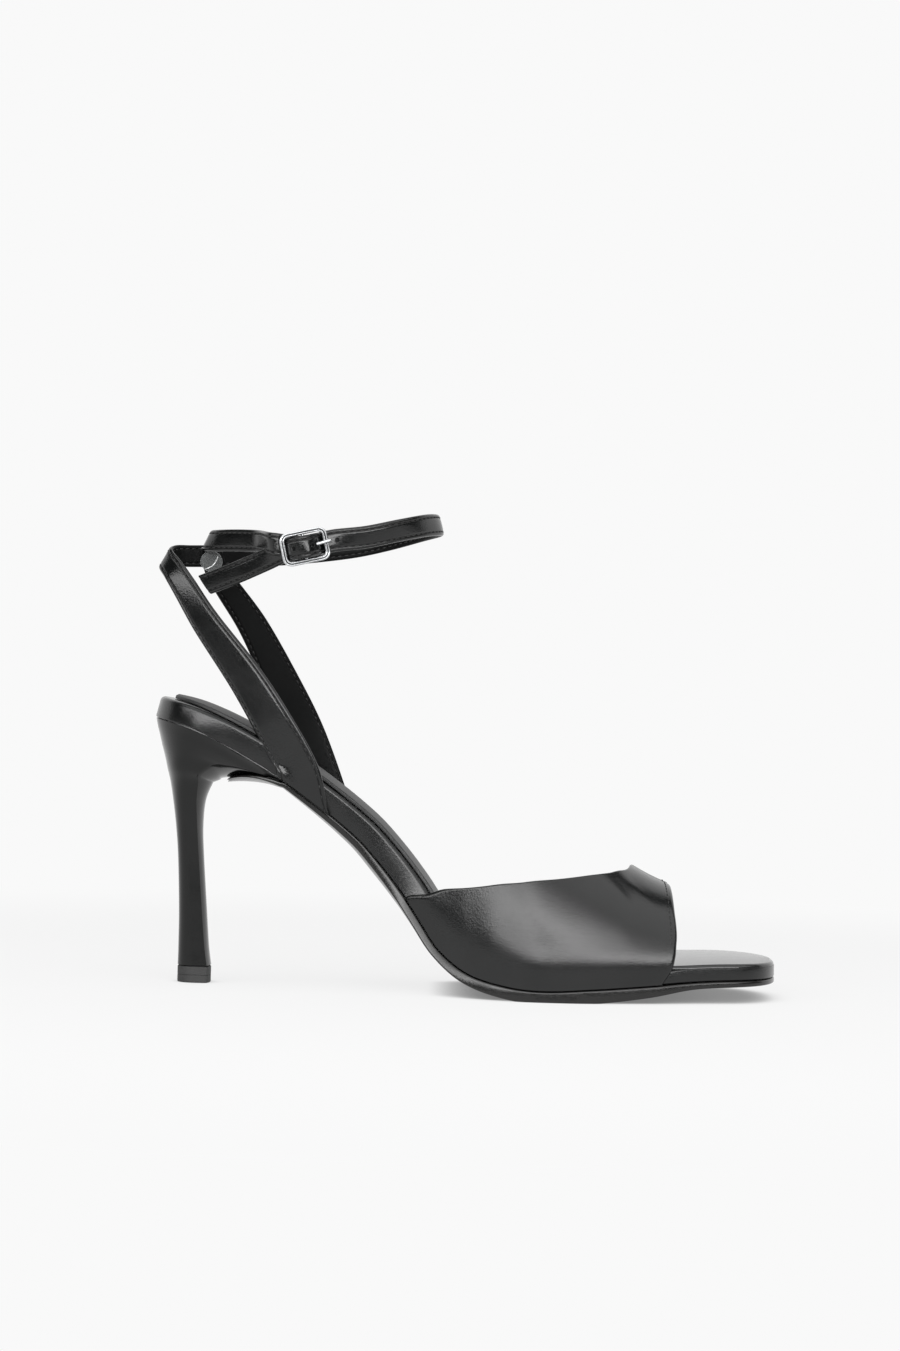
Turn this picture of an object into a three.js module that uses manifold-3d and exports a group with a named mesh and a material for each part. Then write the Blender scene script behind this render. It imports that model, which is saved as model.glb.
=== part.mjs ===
// A right-foot high heel sandal with an open toe: covered footbed, thin outsole, slim heel, wide vamp,
// crossed ankle straps and a centre-bar buckle on the lateral side. Millimetres, +Z up.
// +X runs to the toe, -Y is the lateral side, and the origin is on the floor under the heel tip.
import * as THREE from "three";
import { mergeVertices } from "three/addons/utils/BufferGeometryUtils.js";
import Module from "manifold-3d";

const wasm = await Module();
wasm.setup();

// Driving sizes of the sole
const soleLength = 211.5;      // along X, from the back of the seat to the tip of the toe
const seatBack = 14.5;         // the seat reaches this far behind the origin
const seatHeight = 89.7;       // footbed's underside above the floor, at the very back
const ballWidth = 78;          // footbed across the ball of the foot
const seatRound = 24;          // length of the rounding of the seat's outline
const toeRound = 19;           // length of the rounding of the toe's outline
const footbedThickness = 7.6;  // covered board at the seat
const footbedEdge = 1.2;       // rounding of its upper edge
const sockThickness = 1.3;     // at its edge
const sockCrown = 0.6;         // padding, higher in the middle
const sockInset = 2;           // the sock stops short of the footbed's outline
const sockBackInset = 4.8;
const outsoleThickness = 3.3;  // at the waist
const fit = 0.3;               // gap between pieces that lie on each other

// Driving sizes of the heel
const heelReach = 45.3;        // seat block, from the back of the seat to its thin front edge, along X
const stemWidth = 10.8;        // across the stem, halfway up
const stemDepth = 11;          // heel tip, along X
const tipWidth = 11.2;
const tipHeight = 5.5;
const breastBelly = 5.8;       // roundness of the breast under the seat block
const tongueStart = 30;        // rear end of the outsole's tongue, from the back of the seat

// Driving sizes of the vamp
const vampWall = 1.8;
const vampHeight = 38.2;       // over the footbed's underside, at the peak of the throat
const vampPeak = 162.8;        // peak of the throat, from the back of the seat
const vampFront = 175.5;       // front edge on the centre line, from the back of the seat
const vampFullness = 2.3;      // power of the cross-section's curve
const pleatDepth = 1.5;        // soft pleat along the top of the vamp
const pleatWidth = 3.4;

// Driving sizes of the straps
const ankleBack = 12.8;        // the ankle loop reaches this far behind the origin
const ankleLength = 93.1;      // along X
const ankleWidth = 60;
const ankleHeight = 143.5;       // middle of the loop at its back, above the floor
const ankleRise = 14;          // the loop's front lies this much higher than its back
const strapWidth = 7.5;        // round the ankle
const strapBaseWidth = 14;     // at the footbed
const strapThickness = 1.7;
const strapEndThickness = 0.9; // skived end, folded round the buckle's bar
const footSlope = -1.3;        // the straps' feet are cut aslant along the footbed
const tailSlope = 0.42;        // and the free end near the heel side, less so
const strapLean = -13;         // degrees, turn of the strap's width at the buckle
const tailLean = -18;

// Driving sizes of the buckle and the keeper
const buckleWire = 1.4;
const buckleLength = 14.6;     // between the middles of its two sides
const buckleHeight = strapWidth + buckleWire + 0.8;
const buckleCorner = 2.2;
const buckleTilt = 13.5;       // degrees, rising to the front
const buckleTurn = 14;         // degrees, its front end set back along the loop
const prongWire = 1;
const prongReach = 9;          // from the bar to the tip of the prong
const keeperDiameter = 7.5;
const keeperThickness = 1;
const keeperTilt = 24;         // degrees, its lower edge set back
const tackDiameter = 4;        // joins the two straps where they cross

// Sole line, a row for each place along the foot. at and all widths are shares: at of the sole's length,
// rise of the seat's height, lateral and medial of the ball's width, board of the footbed's thickness,
// leather and round of the outsole's thickness, ledge of the vamp's wall.
const soleRows = [
  { at: 0.000, rise: 1.000, lateral: 0.322, medial: 0.322, board: 0.96, leather: 0.30, round: 0.10, ledge: 0 },
  { at: 0.068, rise: 0.959, lateral: 0.325, medial: 0.325, board: 0.95, leather: 0.30, round: 0.10, ledge: 0 },
  { at: 0.153, rise: 0.861, lateral: 0.310, medial: 0.315, board: 0.99, leather: 0.34, round: 0.14, ledge: 0 },
  { at: 0.245, rise: 0.724, lateral: 0.274, medial: 0.288, board: 0.95, leather: 0.58, round: 0.30, ledge: 0.1 },
  { at: 0.329, rise: 0.571, lateral: 0.247, medial: 0.266, board: 0.96, leather: 0.74, round: 0.40, ledge: 0.1 },
  { at: 0.371, rise: 0.464, lateral: 0.249, medial: 0.260, board: 0.98, leather: 0.80, round: 0.42, ledge: 0.3 },
  { at: 0.407, rise: 0.357, lateral: 0.263, medial: 0.259, board: 0.98, leather: 0.82, round: 0.32, ledge: 0.6 },
  { at: 0.430, rise: 0.278, lateral: 0.288, medial: 0.264, board: 0.97, leather: 0.80, round: 0.20, ledge: 0.9 },
  { at: 0.461, rise: 0.174, lateral: 0.331, medial: 0.281, board: 0.94, leather: 0.80, round: 0.14, ledge: 1.1 },
  { at: 0.507, rise: 0.092, lateral: 0.401, medial: 0.326, board: 0.88, leather: 0.96, round: 0.10, ledge: 1.2 },
  { at: 0.567, rise: 0.053, lateral: 0.477, medial: 0.400, board: 0.78, leather: 1.14, round: 0.08, ledge: 1.2 },
  { at: 0.624, rise: 0.041, lateral: 0.505, medial: 0.455, board: 0.70, leather: 1.22, round: 0.08, ledge: 1.2 },
  { at: 0.700, rise: 0.050, lateral: 0.495, medial: 0.487, board: 0.66, leather: 1.34, round: 0.08, ledge: 1.2 },
  { at: 0.790, rise: 0.064, lateral: 0.438, medial: 0.466, board: 0.60, leather: 1.08, round: 0.06, ledge: 1.2 },
  { at: 0.860, rise: 0.078, lateral: 0.391, medial: 0.417, board: 0.56, leather: 0.66, round: 0.06, ledge: 0.6 },
  { at: 0.920, rise: 0.085, lateral: 0.362, medial: 0.384, board: 0.54, leather: 0.60, round: 0.06, ledge: 0.4 },
  { at: 1.000, rise: 0.088, lateral: 0.335, medial: 0.330, board: 0.50, leather: 0.54, round: 0.06, ledge: 0.3 },
];

// Seat block of the heel, from its thin front edge back to the stem. reach is a share of heelReach and
// depth a share of the footbed's thickness, both on the sole line. rear is a share of seatBack, rearRise of
// seatHeight, half of the seat's half width, belly of breastBelly, seat how much of the seat's form stays.
const blockRows = [
  { reach: 1.000, depth: 0.00, rear: 0.985, rearRise: 0.9965, half: 1.00, belly: 0.00, seat: 1.0 },
  { reach: 0.889, depth: 0.20, rear: 0.938, rearRise: 0.9660, half: 0.94, belly: 0.20, seat: 0.9 },
  { reach: 0.755, depth: 0.49, rear: 0.887, rearRise: 0.9330, half: 0.88, belly: 0.52, seat: 0.75 },
  { reach: 0.638, depth: 0.75, rear: 0.830, rearRise: 0.8940, half: 0.81, belly: 0.88, seat: 0.6 },
  { reach: 0.539, depth: 1.06, rear: 0.758, rearRise: 0.8500, half: 0.725, belly: 0.97, seat: 0.4 },
  { reach: 0.483, depth: 1.66, rear: 0.697, rearRise: 0.8060, half: 0.62, belly: 0.90, seat: 0.2 },
];

// Stem of the heel down to the top of its tip. rise is a share of seatHeight, rear of seatBack,
// front of stemDepth, half of stemWidth, belly of breastBelly.
const stemRows = [
  { rise: 0.756, rear: 0.624, front: 0.110, half: 1.11, belly: 0.70 },
  { rise: 0.684, rear: 0.548, front: 0.050, half: 0.81, belly: 0.43 },
  { rise: 0.585, rear: 0.466, front: 0.080, half: 0.59, belly: 0.27 },
  { rise: 0.469, rear: 0.403, front: 0.145, half: 0.50, belly: 0.24 },
  { rise: 0.281, rear: 0.352, front: 0.275, half: 0.495, belly: 0.23 },
  { rise: 0.140, rear: 0.342, front: 0.385, half: 0.505, belly: 0.20 },
];

// Section of the heel's tip: rear and front of stemDepth, belly of breastBelly.
const tipShares = { rear: 0.455, front: 0.475, belly: 0.19 };

// Cross-section of the last over the toes: height is a share of vampHeight at that place along the foot.
const lastRows = [
  { at: 0.42, height: 1.88 },
  { at: 0.51, height: 2.02 },
  { at: 0.60, height: 1.72 },
  { at: 0.68, height: 1.38 },
  { at: 0.74, height: 1.135 },
  { at: 0.77, height: 1.00 },
  { at: 0.83, height: 0.817 },
  { at: 0.90, height: 0.70 },
];

// Edges of the vamp. around goes from the lateral side (0) over the top (0.5) to the medial side (1),
// throat is a share of vampPeak and front of vampFront, both along the foot.
const vampRows = [
  { around: 0.000, throat: 0.530, front: 0.980 },
  { around: 0.033, throat: 0.566, front: 0.996 },
  { around: 0.077, throat: 0.611, front: 1.003 },
  { around: 0.121, throat: 0.700, front: 1.005 },
  { around: 0.154, throat: 0.762, front: 1.006 },
  { around: 0.200, throat: 0.841, front: 1.005 },
  { around: 0.252, throat: 0.905, front: 1.003 },
  { around: 0.302, throat: 0.947, front: 1.002 },
  { around: 0.380, throat: 0.982, front: 1.001 },
  { around: 0.500, throat: 0.995, front: 1.000 },
  { around: 0.620, throat: 1.001, front: 1.001 },
  { around: 0.700, throat: 0.976, front: 1.002 },
  { around: 0.750, throat: 0.946, front: 1.003 },
  { around: 0.800, throat: 0.896, front: 1.005 },
  { around: 0.846, throat: 0.822, front: 1.006 },
  { around: 0.880, throat: 0.750, front: 1.005 },
  { around: 0.923, throat: 0.648, front: 1.003 },
  { around: 0.967, throat: 0.580, front: 0.996 },
  { around: 1.000, throat: 0.540, front: 0.980 },
];

// Leg of the lateral strap from the footbed up to its fold behind the ankle, and of the medial strap.
// climb is a share of the way from the leg's foot to the height of the ankle loop, forward a share of the
// ankle's length ahead of the loop's back, spread a share of the side distance at the foot, lean the turn of
// the strap's width from upright, swing its turn to the side, width a share of strapBaseWidth.
const lateralLeg = [
  { climb: 0.000, forward: 0.538, spread: 1.035, lean: 74, swing: 8, width: 1.00 },
  { climb: 0.113, forward: 0.510, spread: 1.082, lean: 71, swing: 6, width: 1.00 },
  { climb: 0.308, forward: 0.417, spread: 1.080, lean: 61, swing: 2, width: 0.98 },
  { climb: 0.483, forward: 0.320, spread: 0.930, lean: 55, swing: 0, width: 0.91 },
  { climb: 0.733, forward: 0.158, spread: 0.640, lean: 53, swing: 0, width: 0.735 },
  { climb: 0.868, forward: 0.082, spread: 0.465, lean: 50, swing: 0, width: 0.63 },
  { climb: 0.945, forward: 0.036, spread: 0.300, lean: 42, swing: 0, width: 0.57 },
];
const medialLeg = [
  { climb: 0.000, forward: 0.612, spread: 1.045, lean: 75, swing: -8, width: 1.00 },
  { climb: 0.107, forward: 0.579, spread: 1.088, lean: 72, swing: -6, width: 1.00 },
  { climb: 0.300, forward: 0.511, spread: 1.050, lean: 62, swing: -2, width: 0.98 },
  { climb: 0.480, forward: 0.434, spread: 0.885, lean: 56, swing: 0, width: 0.91 },
  { climb: 0.735, forward: 0.315, spread: 0.610, lean: 54, swing: 0, width: 0.735 },
  { climb: 0.877, forward: 0.227, spread: 0.413, lean: 51, swing: 0, width: 0.63 },
  { climb: 0.945, forward: 0.184, spread: 0.306, lean: 44, swing: 0, width: 0.57 },
];

// Ankle loop of the lateral strap, from its fold round the medial side and the front to the buckle.
// forward is a share of the ankle's length, side of half its width, lift of strapWidth.
const loopRows = [
  { forward: 0.004, side: -0.020, lift: -0.07, lean: 30 },
  { forward: 0.030, side: 0.165, lift: 0.05, lean: 14 },
  { forward: 0.088, side: 0.265, lift: -0.03, lean: 4 },
  { forward: 0.180, side: 0.330, lift: -0.16, lean: 0 },
  { forward: 0.300, side: 0.570, lift: -0.31, lean: 0 },
  { forward: 0.475, side: 0.860, lift: -0.41, lean: 0 },
  { forward: 0.673, side: 0.950, lift: -0.42, lean: 0 },
  { forward: 0.795, side: 0.850, lift: -0.31, lean: 0 },
  { forward: 0.930, side: 0.500, lift: -0.12, lean: -9 },
  { forward: 0.994, side: -0.030, lift: -0.08, lean: -15 },
  { forward: 0.952, side: -0.420, lift: -0.08, lean: -14 },
  { forward: 0.850, side: -0.790, lift: -0.22, lean: -8 },
  { forward: 0.735, side: -0.945, lift: -0.36, lean: -4 },
];

// Strap rows at the buckle, in its own frame: along as a share of half its length, out as multiples
// of the distance that the strap keeps from the frame (behind it, negative) or over the bar (positive).
const buckleRows = [
  { along: 1.45, out: -1.0 },
  { along: 0.85, out: -1.0 },
  { along: 0.50, out: 0.25 },
  { along: 0.00, out: 1.0 },
  { along: -0.50, out: 0.25 },
  { along: -0.84, out: -1.03 },
];
const tailRows = [
  { forward: 0.385, side: -0.890, lift: -0.80 },
  { forward: 0.280, side: -0.700, lift: -1.17 },
  { forward: 0.158, side: -0.460, lift: -1.52 },
];

// Near part of the medial strap, from its fold behind the ankle to the buckle.
const nearRows = [
  { forward: 0.156, side: 0.110, lift: 0.41, lean: 34 },
  { forward: 0.157, side: -0.030, lift: 0.50, lean: 22 },
  { forward: 0.189, side: -0.190, lift: 0.44, lean: 8 },
  { forward: 0.262, side: -0.390, lift: 0.31, lean: 0 },
  { forward: 0.345, side: -0.630, lift: 0.11, lean: 0 },
];

// Single places on the ankle loop, in the same shares.
const bucklePlace = { forward: 0.5215, side: -1.1, lift: -0.48 };
const tackPlace = { forward: 0.190, side: 0.267, lift: -0.47 };
const keeperPlace = { forward: 0.165, side: 0.080, lift: -0.42 };

const leather = material(0x1b1c1c, 0.42, 0);
const lining = material(0x222423, 0.85, 0);
const heelFinish = material(0x3a3c3b, 0.45, 0);
const soleFinish = material(0x2a2a29, 0.6, 0);
const tipFinish = material(0x262726, 0.7, 0);
const silver = material(0xd6d7d9, 0.15, 1);
const clearPlastic = material(0xdfe3e6, 0.1, 0);

function material(color, roughness, metalness) {
  return new THREE.MeshStandardMaterial({ color, roughness, metalness });
}

// Smooth value of a table's column: a cubic through the rows, read at a place between them.
function column(rows, key, name, at) {
  const last = rows.length - 1;
  let i = 0;
  while (i < last - 1 && at > rows[i + 1][key]) {
    i += 1;
  }
  const slope = (j) => {
    const before = rows[Math.max(j - 1, 0)];
    const after = rows[Math.min(j + 1, last)];
    return (after[name] - before[name]) / (after[key] - before[key]);
  };
  const span = rows[i + 1][key] - rows[i][key];
  const t = THREE.MathUtils.clamp((at - rows[i][key]) / span, 0, 1);
  const rise = rows[i + 1][name] - rows[i][name];
  const bendA = slope(i) * span - rise;
  const bendB = rise - slope(i + 1) * span;
  return rows[i][name] + t * rise + t * (1 - t) * (bendA * (1 - t) + bendB * t);
}

const sole = (name, at) => column(soleRows, "at", name, at);

// Point of the shoe from its place along the sole line, to the side, and square to the line.
function place(at, side, height) {
  const step = 0.004;
  const low = Math.max(at - step, 0);
  const high = Math.min(at + step, 1);
  const slope = (seatHeight * (sole("rise", high) - sole("rise", low))) / (soleLength * (high - low));
  const turn = Math.atan(slope);
  return new THREE.Vector3(
    soleLength * at - seatBack - Math.sin(turn) * height,
    side,
    seatHeight * sole("rise", at) + Math.cos(turn) * height,
  );
}

// Rounding of an outline's end: 0 at the end, 1 past the rounding.
function endRound(distance, length, power) {
  const left = THREE.MathUtils.clamp(1 - distance / length, 0, 1);
  return (1 - left ** power) ** (1 / power);
}

// Half width of the outline on one side, drawn in by an inset on the sides and at both ends.
function halfWidth(name, at, inset, backInset = inset) {
  const fromBack = soleLength * at - backInset;
  const fromToe = soleLength * (1 - at) - inset;
  const ends = endRound(fromBack, seatRound, 2.15) * endRound(fromToe, toeRound, 2.5);
  return (ballWidth * sole(name, at) - inset) * ends;
}

// Closed solid from equal loops of points: side walls between the loops, and two end caps that
// zip the loop's two halves together from its first point to the one opposite.
function loft(loops) {
  const points = loops.flat();
  const size = loops[0].length;
  const triangles = [];
  for (let i = 0; i < loops.length - 1; i += 1) {
    for (let j = 0; j < size; j += 1) {
      const a = i * size + j;
      const b = i * size + ((j + 1) % size);
      triangles.push([a, b, b + size], [a, b + size, a + size]);
    }
  }
  const cap = (start, flip) => {
    const add = (a, b, c) => triangles.push(flip ? [start + a, start + c, start + b] : [start + a, start + b, start + c]);
    const half = size / 2;
    for (let j = 0; j < half; j += 1) {
      const back = (size - j) % size;
      if (j > 0) {
        add(j, back, j + 1);
      }
      if (j + 1 < half || j === 0) {
        add(back, size - j - 1, j + 1);
      }
    }
  };
  cap(0, false);
  cap((loops.length - 1) * size, true);
  return solid(points, triangles);
}

// Closed wall between two equal grids of points, an outer and an inner one.
function wall(outer, inner) {
  const rows = outer.length;
  const columns = outer[0].length;
  const points = [...outer.flat(), ...inner.flat()];
  const shift = rows * columns;
  const triangles = [];
  const quad = (a, b, c, d) => triangles.push([a, b, c], [a, c, d]);
  for (let i = 0; i < rows - 1; i += 1) {
    for (let j = 0; j < columns - 1; j += 1) {
      const a = i * columns + j;
      quad(a, a + 1, a + columns + 1, a + columns);
      quad(shift + a, shift + a + columns, shift + a + columns + 1, shift + a + 1);
    }
  }
  for (let i = 0; i < rows - 1; i += 1) {
    const first = i * columns;
    const last = first + columns - 1;
    quad(first, first + columns, shift + first + columns, shift + first);
    quad(last, shift + last, shift + last + columns, last + columns);
  }
  for (let j = 0; j < columns - 1; j += 1) {
    const end = (rows - 1) * columns + j;
    quad(j, shift + j, shift + j + 1, j + 1);
    quad(end, end + 1, shift + end + 1, shift + end);
  }
  return solid(points, triangles);
}

// Geometry with its faces turned outward, whichever way the triangles were listed.
function solid(points, triangles) {
  let volume = 0;
  for (const [a, b, c] of triangles) {
    volume += points[a].dot(points[b].clone().cross(points[c]));
  }
  const index = triangles.flatMap(([a, b, c]) => (volume > 0 ? [a, b, c] : [a, c, b]));
  const geometry = new THREE.BufferGeometry();
  geometry.setAttribute("position", new THREE.Float32BufferAttribute(points.flatMap((p) => p.toArray()), 3));
  geometry.setIndex(index);
  return geometry;
}

function toManifold(geometry) {
  const plain = geometry.clone();
  plain.deleteAttribute("normal");
  plain.deleteAttribute("uv");
  const merged = mergeVertices(plain, 1e-4);
  return new wasm.Manifold(new wasm.Mesh({
    numProp: 3,
    vertProperties: new Float32Array(merged.attributes.position.array),
    triVerts: new Uint32Array(merged.index.array),
  }));
}

function fromManifold(body) {
  const mesh = body.getMesh();
  const geometry = new THREE.BufferGeometry();
  geometry.setAttribute("position", new THREE.BufferAttribute(new Float32Array(mesh.vertProperties), 3));
  geometry.setIndex(new THREE.BufferAttribute(new Uint32Array(mesh.triVerts), 1));
  return geometry;
}

// Places between two ends that crowd towards both, for outlines with round ends.
function crowded(from, to, count) {
  return Array.from({ length: count + 1 }, (_, i) => from + (to - from) * 0.5 * (1 - Math.cos((Math.PI * i) / count)));
}

// The layers of the sole share their stations, so that they nest; each adds its own near its two ends.
const endTrim = 0.5 / soleLength;
const soleStations = crowded(endTrim, 1 - endTrim, 38);
const endSteps = [0, 0.5, 2, 4.5];

function layerStations(first, last) {
  const near = endSteps.map((step) => first + step / soleLength);
  const far = endSteps.map((step) => last - step / soleLength).reverse();
  const spare = 1.5 / soleLength;
  const between = soleStations.filter((at) => at > near.at(-1) + spare && at < far[0] - spare);
  return [...near, ...between, ...far];
}

const across = [-1, -0.62, 0, 0.62, 1];

function footbed() {
  const loops = soleStations.map((at) => {
    const lateral = halfWidth("lateral", at, 0);
    const medial = halfWidth("medial", at, 0);
    const top = footbedThickness * sole("board", at);
    const edge = Math.min(footbedEdge, lateral / 3, medial / 3);
    const section = [
      [-lateral, top * 0.45], [-lateral, 0], [-lateral * 0.4, 0], [medial * 0.4, 0], [medial, 0],
      [medial, top * 0.45], [medial, top - edge], [medial - edge, top], [edge - lateral, top], [-lateral, top - edge],
    ];
    return section.map(([side, height]) => place(at, side, height));
  });
  return loft(loops);
}

function sock() {
  const first = sockBackInset / soleLength + endTrim;
  const last = 1 - sockInset / soleLength - endTrim;
  const loops = layerStations(first, last).map((at) => {
    const reach = (share) => share * halfWidth(share < 0 ? "lateral" : "medial", at, sockInset, sockBackInset);
    const low = footbedThickness * sole("board", at) + fit;
    const ends = endRound(soleLength * (at - first), seatRound, 2) * endRound(soleLength * (last - at), toeRound, 2);
    const crown = sockCrown * (0.25 + 0.75 * ends);
    const bottom = across.map((share) => place(at, reach(share), low));
    const top = across.map((share) => place(at, reach(share), low + sockThickness + crown * (1 - share * share)));
    const edge = (share) => place(at, reach(share), low + sockThickness / 2);
    return [edge(-1), ...bottom, edge(1), ...top.reverse()];
  });
  return loft(loops);
}

// Depth of the seat block below the footbed, at a place on the sole line and a share of its half width.
function blockDepth(at, share) {
  const reach = (at * soleLength) / heelReach;
  if (reach >= 1) {
    return 0;
  }
  const rows = blockRows.slice().reverse();
  const depth = footbedThickness * column(rows, "reach", "depth", reach);
  const belly = breastBelly * column(rows, "reach", "belly", reach);
  return depth + belly * (1 - share * share);
}

function outsole() {
  const shares = [-1, -0.82, -0.45, 0, 0.45, 0.82, 1];
  const start = tongueStart / soleLength;
  const loops = layerStations(start + endTrim, 1 - endTrim).map((at) => {
    const ledge = vampWall * sole("ledge", at);
    const tongue = endRound(soleLength * (at - start), heelReach - tongueStart + seatRound / 6, 2.4);
    const reach = (share) => share * tongue * (halfWidth(share < 0 ? "lateral" : "medial", at, 0) + ledge);
    const top = (share) => -fit - (blockDepth(at, share * tongue) > 0 ? blockDepth(at, share * tongue) + fit : 0);
    const leatherAt = outsoleThickness * sole("leather", at);
    const roundAt = outsoleThickness * sole("round", at);
    const low = (share) => top(share) - leatherAt - roundAt * (1 - share ** 4);
    const upper = shares.map((share) => place(at, reach(share), top(share)));
    const lower = shares.map((share) => place(at, reach(share), low(share)));
    const edge = (share) => place(at, reach(share), (top(share) + low(share)) / 2);
    const loop = [edge(-1), ...lower, edge(1), ...upper.reverse()];
    // the underside is pressed flat where it stands on the floor
    loop.forEach((point) => point.setZ(Math.max(point.z, 0)));
    return loop;
  });
  return loft(loops);
}

const sideSteps = 7;
const roundShare = 0.55;
const breastShares = [-0.7, -0.36, 0, 0.36, 0.7];

const seatHalf = ballWidth * sole("lateral", heelReach / soleLength / 3);

// Place of a side point of the heel's section along it, and its share of the half width there.
function sideStep(i) {
  const round = Math.min(i / (sideSteps - 2), 1) * (Math.PI / 2);
  const straight = Math.max(i - (sideSteps - 2), 0) / 2;
  return { along: roundShare * (1 - Math.cos(round)) + (1 - roundShare) * straight, spread: Math.sin(round) };
}

// One loop of the heel, from its rear point round the lateral side, over the breast and back.
function heelLoop(row, outward) {
  const seatFront = heelReach / soleLength;
  const rearSeat = place(endTrim, 0, -fit);
  const frontSeat = place(seatFront, 0, -fit);
  const sidePoint = (i, name) => {
    const { along, spread } = sideStep(i);
    const at = endTrim + (seatFront - endTrim) * along;
    const seatPoint = place(at, 0, -fit).sub(rearSeat.clone().lerp(frontSeat, along));
    const seatSpread = (halfWidth(name, at, fit / 2) / seatHalf) * (i > 0 ? 1 : 0);
    const share = THREE.MathUtils.lerp(spread, seatSpread, row.seat);
    const point = row.rear.clone().lerp(row.front, along).addScaledVector(seatPoint, row.seat);
    return point.setY((name === "lateral" ? -1 : 1) * row.half * share);
  };
  const order = Array.from({ length: sideSteps }, (_, i) => i + 1);
  const lateral = order.map((i) => sidePoint(i, "lateral"));
  const medial = order.map((i) => sidePoint(i, "medial")).reverse();
  const left = lateral[sideSteps - 1];
  const right = medial[0];
  const breast = breastShares.map((share) => {
    const point = left.clone().lerp(right, (share + 1) / 2);
    return point.addScaledVector(outward, row.belly * (1 - share * share));
  });
  return [row.rear.clone(), ...lateral, ...breast, ...medial];
}

function heelRows() {
  const block = blockRows.map((row) => {
    const at = (row.reach * heelReach) / soleLength;
    const depth = fit + footbedThickness * row.depth;
    return {
      rear: new THREE.Vector3(-seatBack * row.rear, 0, seatHeight * row.rearRise),
      front: place(at, 0, -depth),
      half: seatHalf * row.half,
      belly: breastBelly * row.belly,
      seat: row.seat,
      down: place(at, 0, -depth - 1).sub(place(at, 0, -depth)),
    };
  });
  block[0].rear = place(endTrim, 0, -fit);
  const stem = stemRows.map((row) => ({
    rear: new THREE.Vector3(-seatBack * row.rear, 0, seatHeight * row.rise),
    front: new THREE.Vector3(stemDepth * row.front, 0, seatHeight * row.rise),
    half: stemWidth * row.half,
    belly: breastBelly * row.belly,
    seat: 0,
  }));
  return [...block, ...stem];
}

function tipRow(height) {
  return {
    rear: new THREE.Vector3(-stemDepth * tipShares.rear, 0, height),
    front: new THREE.Vector3(stemDepth * tipShares.front, 0, height),
    half: tipWidth / 2,
    belly: breastBelly * tipShares.belly,
    seat: 0,
  };
}

function heel() {
  const rows = [...heelRows(), tipRow(tipHeight + fit)];
  const loops = rows.map((row, i) => {
    const before = rows[Math.max(i - 1, 0)].front;
    const after = rows[Math.min(i + 1, rows.length - 1)].front;
    const run = after.clone().sub(before).normalize();
    const square = new THREE.Vector3(-run.z, 0, run.x);
    return heelLoop(row, i < 4 ? row.down : square);
  });
  return loft(loops);
}

function heelTip() {
  const forward = new THREE.Vector3(1, 0, 0);
  return loft([tipHeight, 0].map((height) => heelLoop(tipRow(height), forward)));
}

// Point of the last over the toes, grown by a margin: around 0 is the lateral and 1 the medial feather line.
function lastPoint(at, around, margin) {
  const angle = Math.PI * around;
  const power = 2 / vampFullness;
  const base = place(at, 0, fit / 2);
  const half = halfWidth(around < 0.5 ? "lateral" : "medial", at, 0) + 1.5 * fit + margin;
  const height = vampHeight * column(lastRows, "at", "height", at) - vampWall + margin;
  const side = -Math.sign(Math.cos(angle)) * Math.abs(Math.cos(angle)) ** power * half;
  const lift = Math.sin(angle) ** power * height;
  const pleat = pleatDepth * Math.exp(-((side / pleatWidth) ** 2));
  return new THREE.Vector3(base.x, side, base.z + lift - (around > 0.2 && around < 0.8 ? pleat : 0));
}

function vamp() {
  const rows = 12;
  const arounds = crowded(0, 1, 30);
  const skin = (margin) => Array.from({ length: rows + 1 }, (_, i) => arounds.map((around) => {
    const throat = (vampPeak * column(vampRows, "around", "throat", around)) / soleLength;
    const front = (vampFront * column(vampRows, "around", "front", around)) / soleLength;
    return lastPoint(THREE.MathUtils.lerp(throat, front, i / rows), around, margin);
  }));
  return wall(skin(vampWall), skin(0));
}

// Frame of the buckle: x along the strap, y across it and z away from the foot.
const buckleFrame = new THREE.Matrix4()
  .setPosition(anklePoint(bucklePlace))
  .multiply(new THREE.Matrix4().makeRotationZ(THREE.MathUtils.degToRad(buckleTurn)))
  .multiply(new THREE.Matrix4().makeRotationX(Math.PI / 2))
  .multiply(new THREE.Matrix4().makeRotationZ(THREE.MathUtils.degToRad(buckleTilt)));

const behindFrame = buckleWire / 2 + fit + strapThickness / 2;
const overBar = buckleWire / 2 + fit + prongWire + fit + strapThickness / 2;

function anklePoint(row) {
  return new THREE.Vector3(
    ankleLength * row.forward - ankleBack,
    (ankleWidth / 2) * row.side,
    ankleHeight + ankleRise * row.forward + strapWidth * row.lift,
  );
}

// Point of a strap's leg. Its foot lies against the footbed's side, above the outsole.
function legPoint(row, name) {
  const rows = name === "lateral" ? lateralLeg : medialLeg;
  const footAt = (ankleLength * rows[0].forward - ankleBack + seatBack) / soleLength;
  const reach = halfWidth(name, footAt, 0) + fit + strapThickness / 2;
  return new THREE.Vector3(
    ankleLength * row.forward - ankleBack,
    (name === "lateral" ? -1 : 1) * reach * row.spread,
    THREE.MathUtils.lerp(place(footAt, 0, 0).z, ankleHeight, row.climb),
  );
}

function bucklePoint(along, up, out) {
  return new THREE.Vector3(along, up, out).applyMatrix4(buckleFrame);
}

// Rows of a strap's middle line with its width, thickness and the direction of its width.
function strapRow(point, lean, swing, width, thickness = strapThickness) {
  return { point, lean, swing, width, thickness };
}

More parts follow.
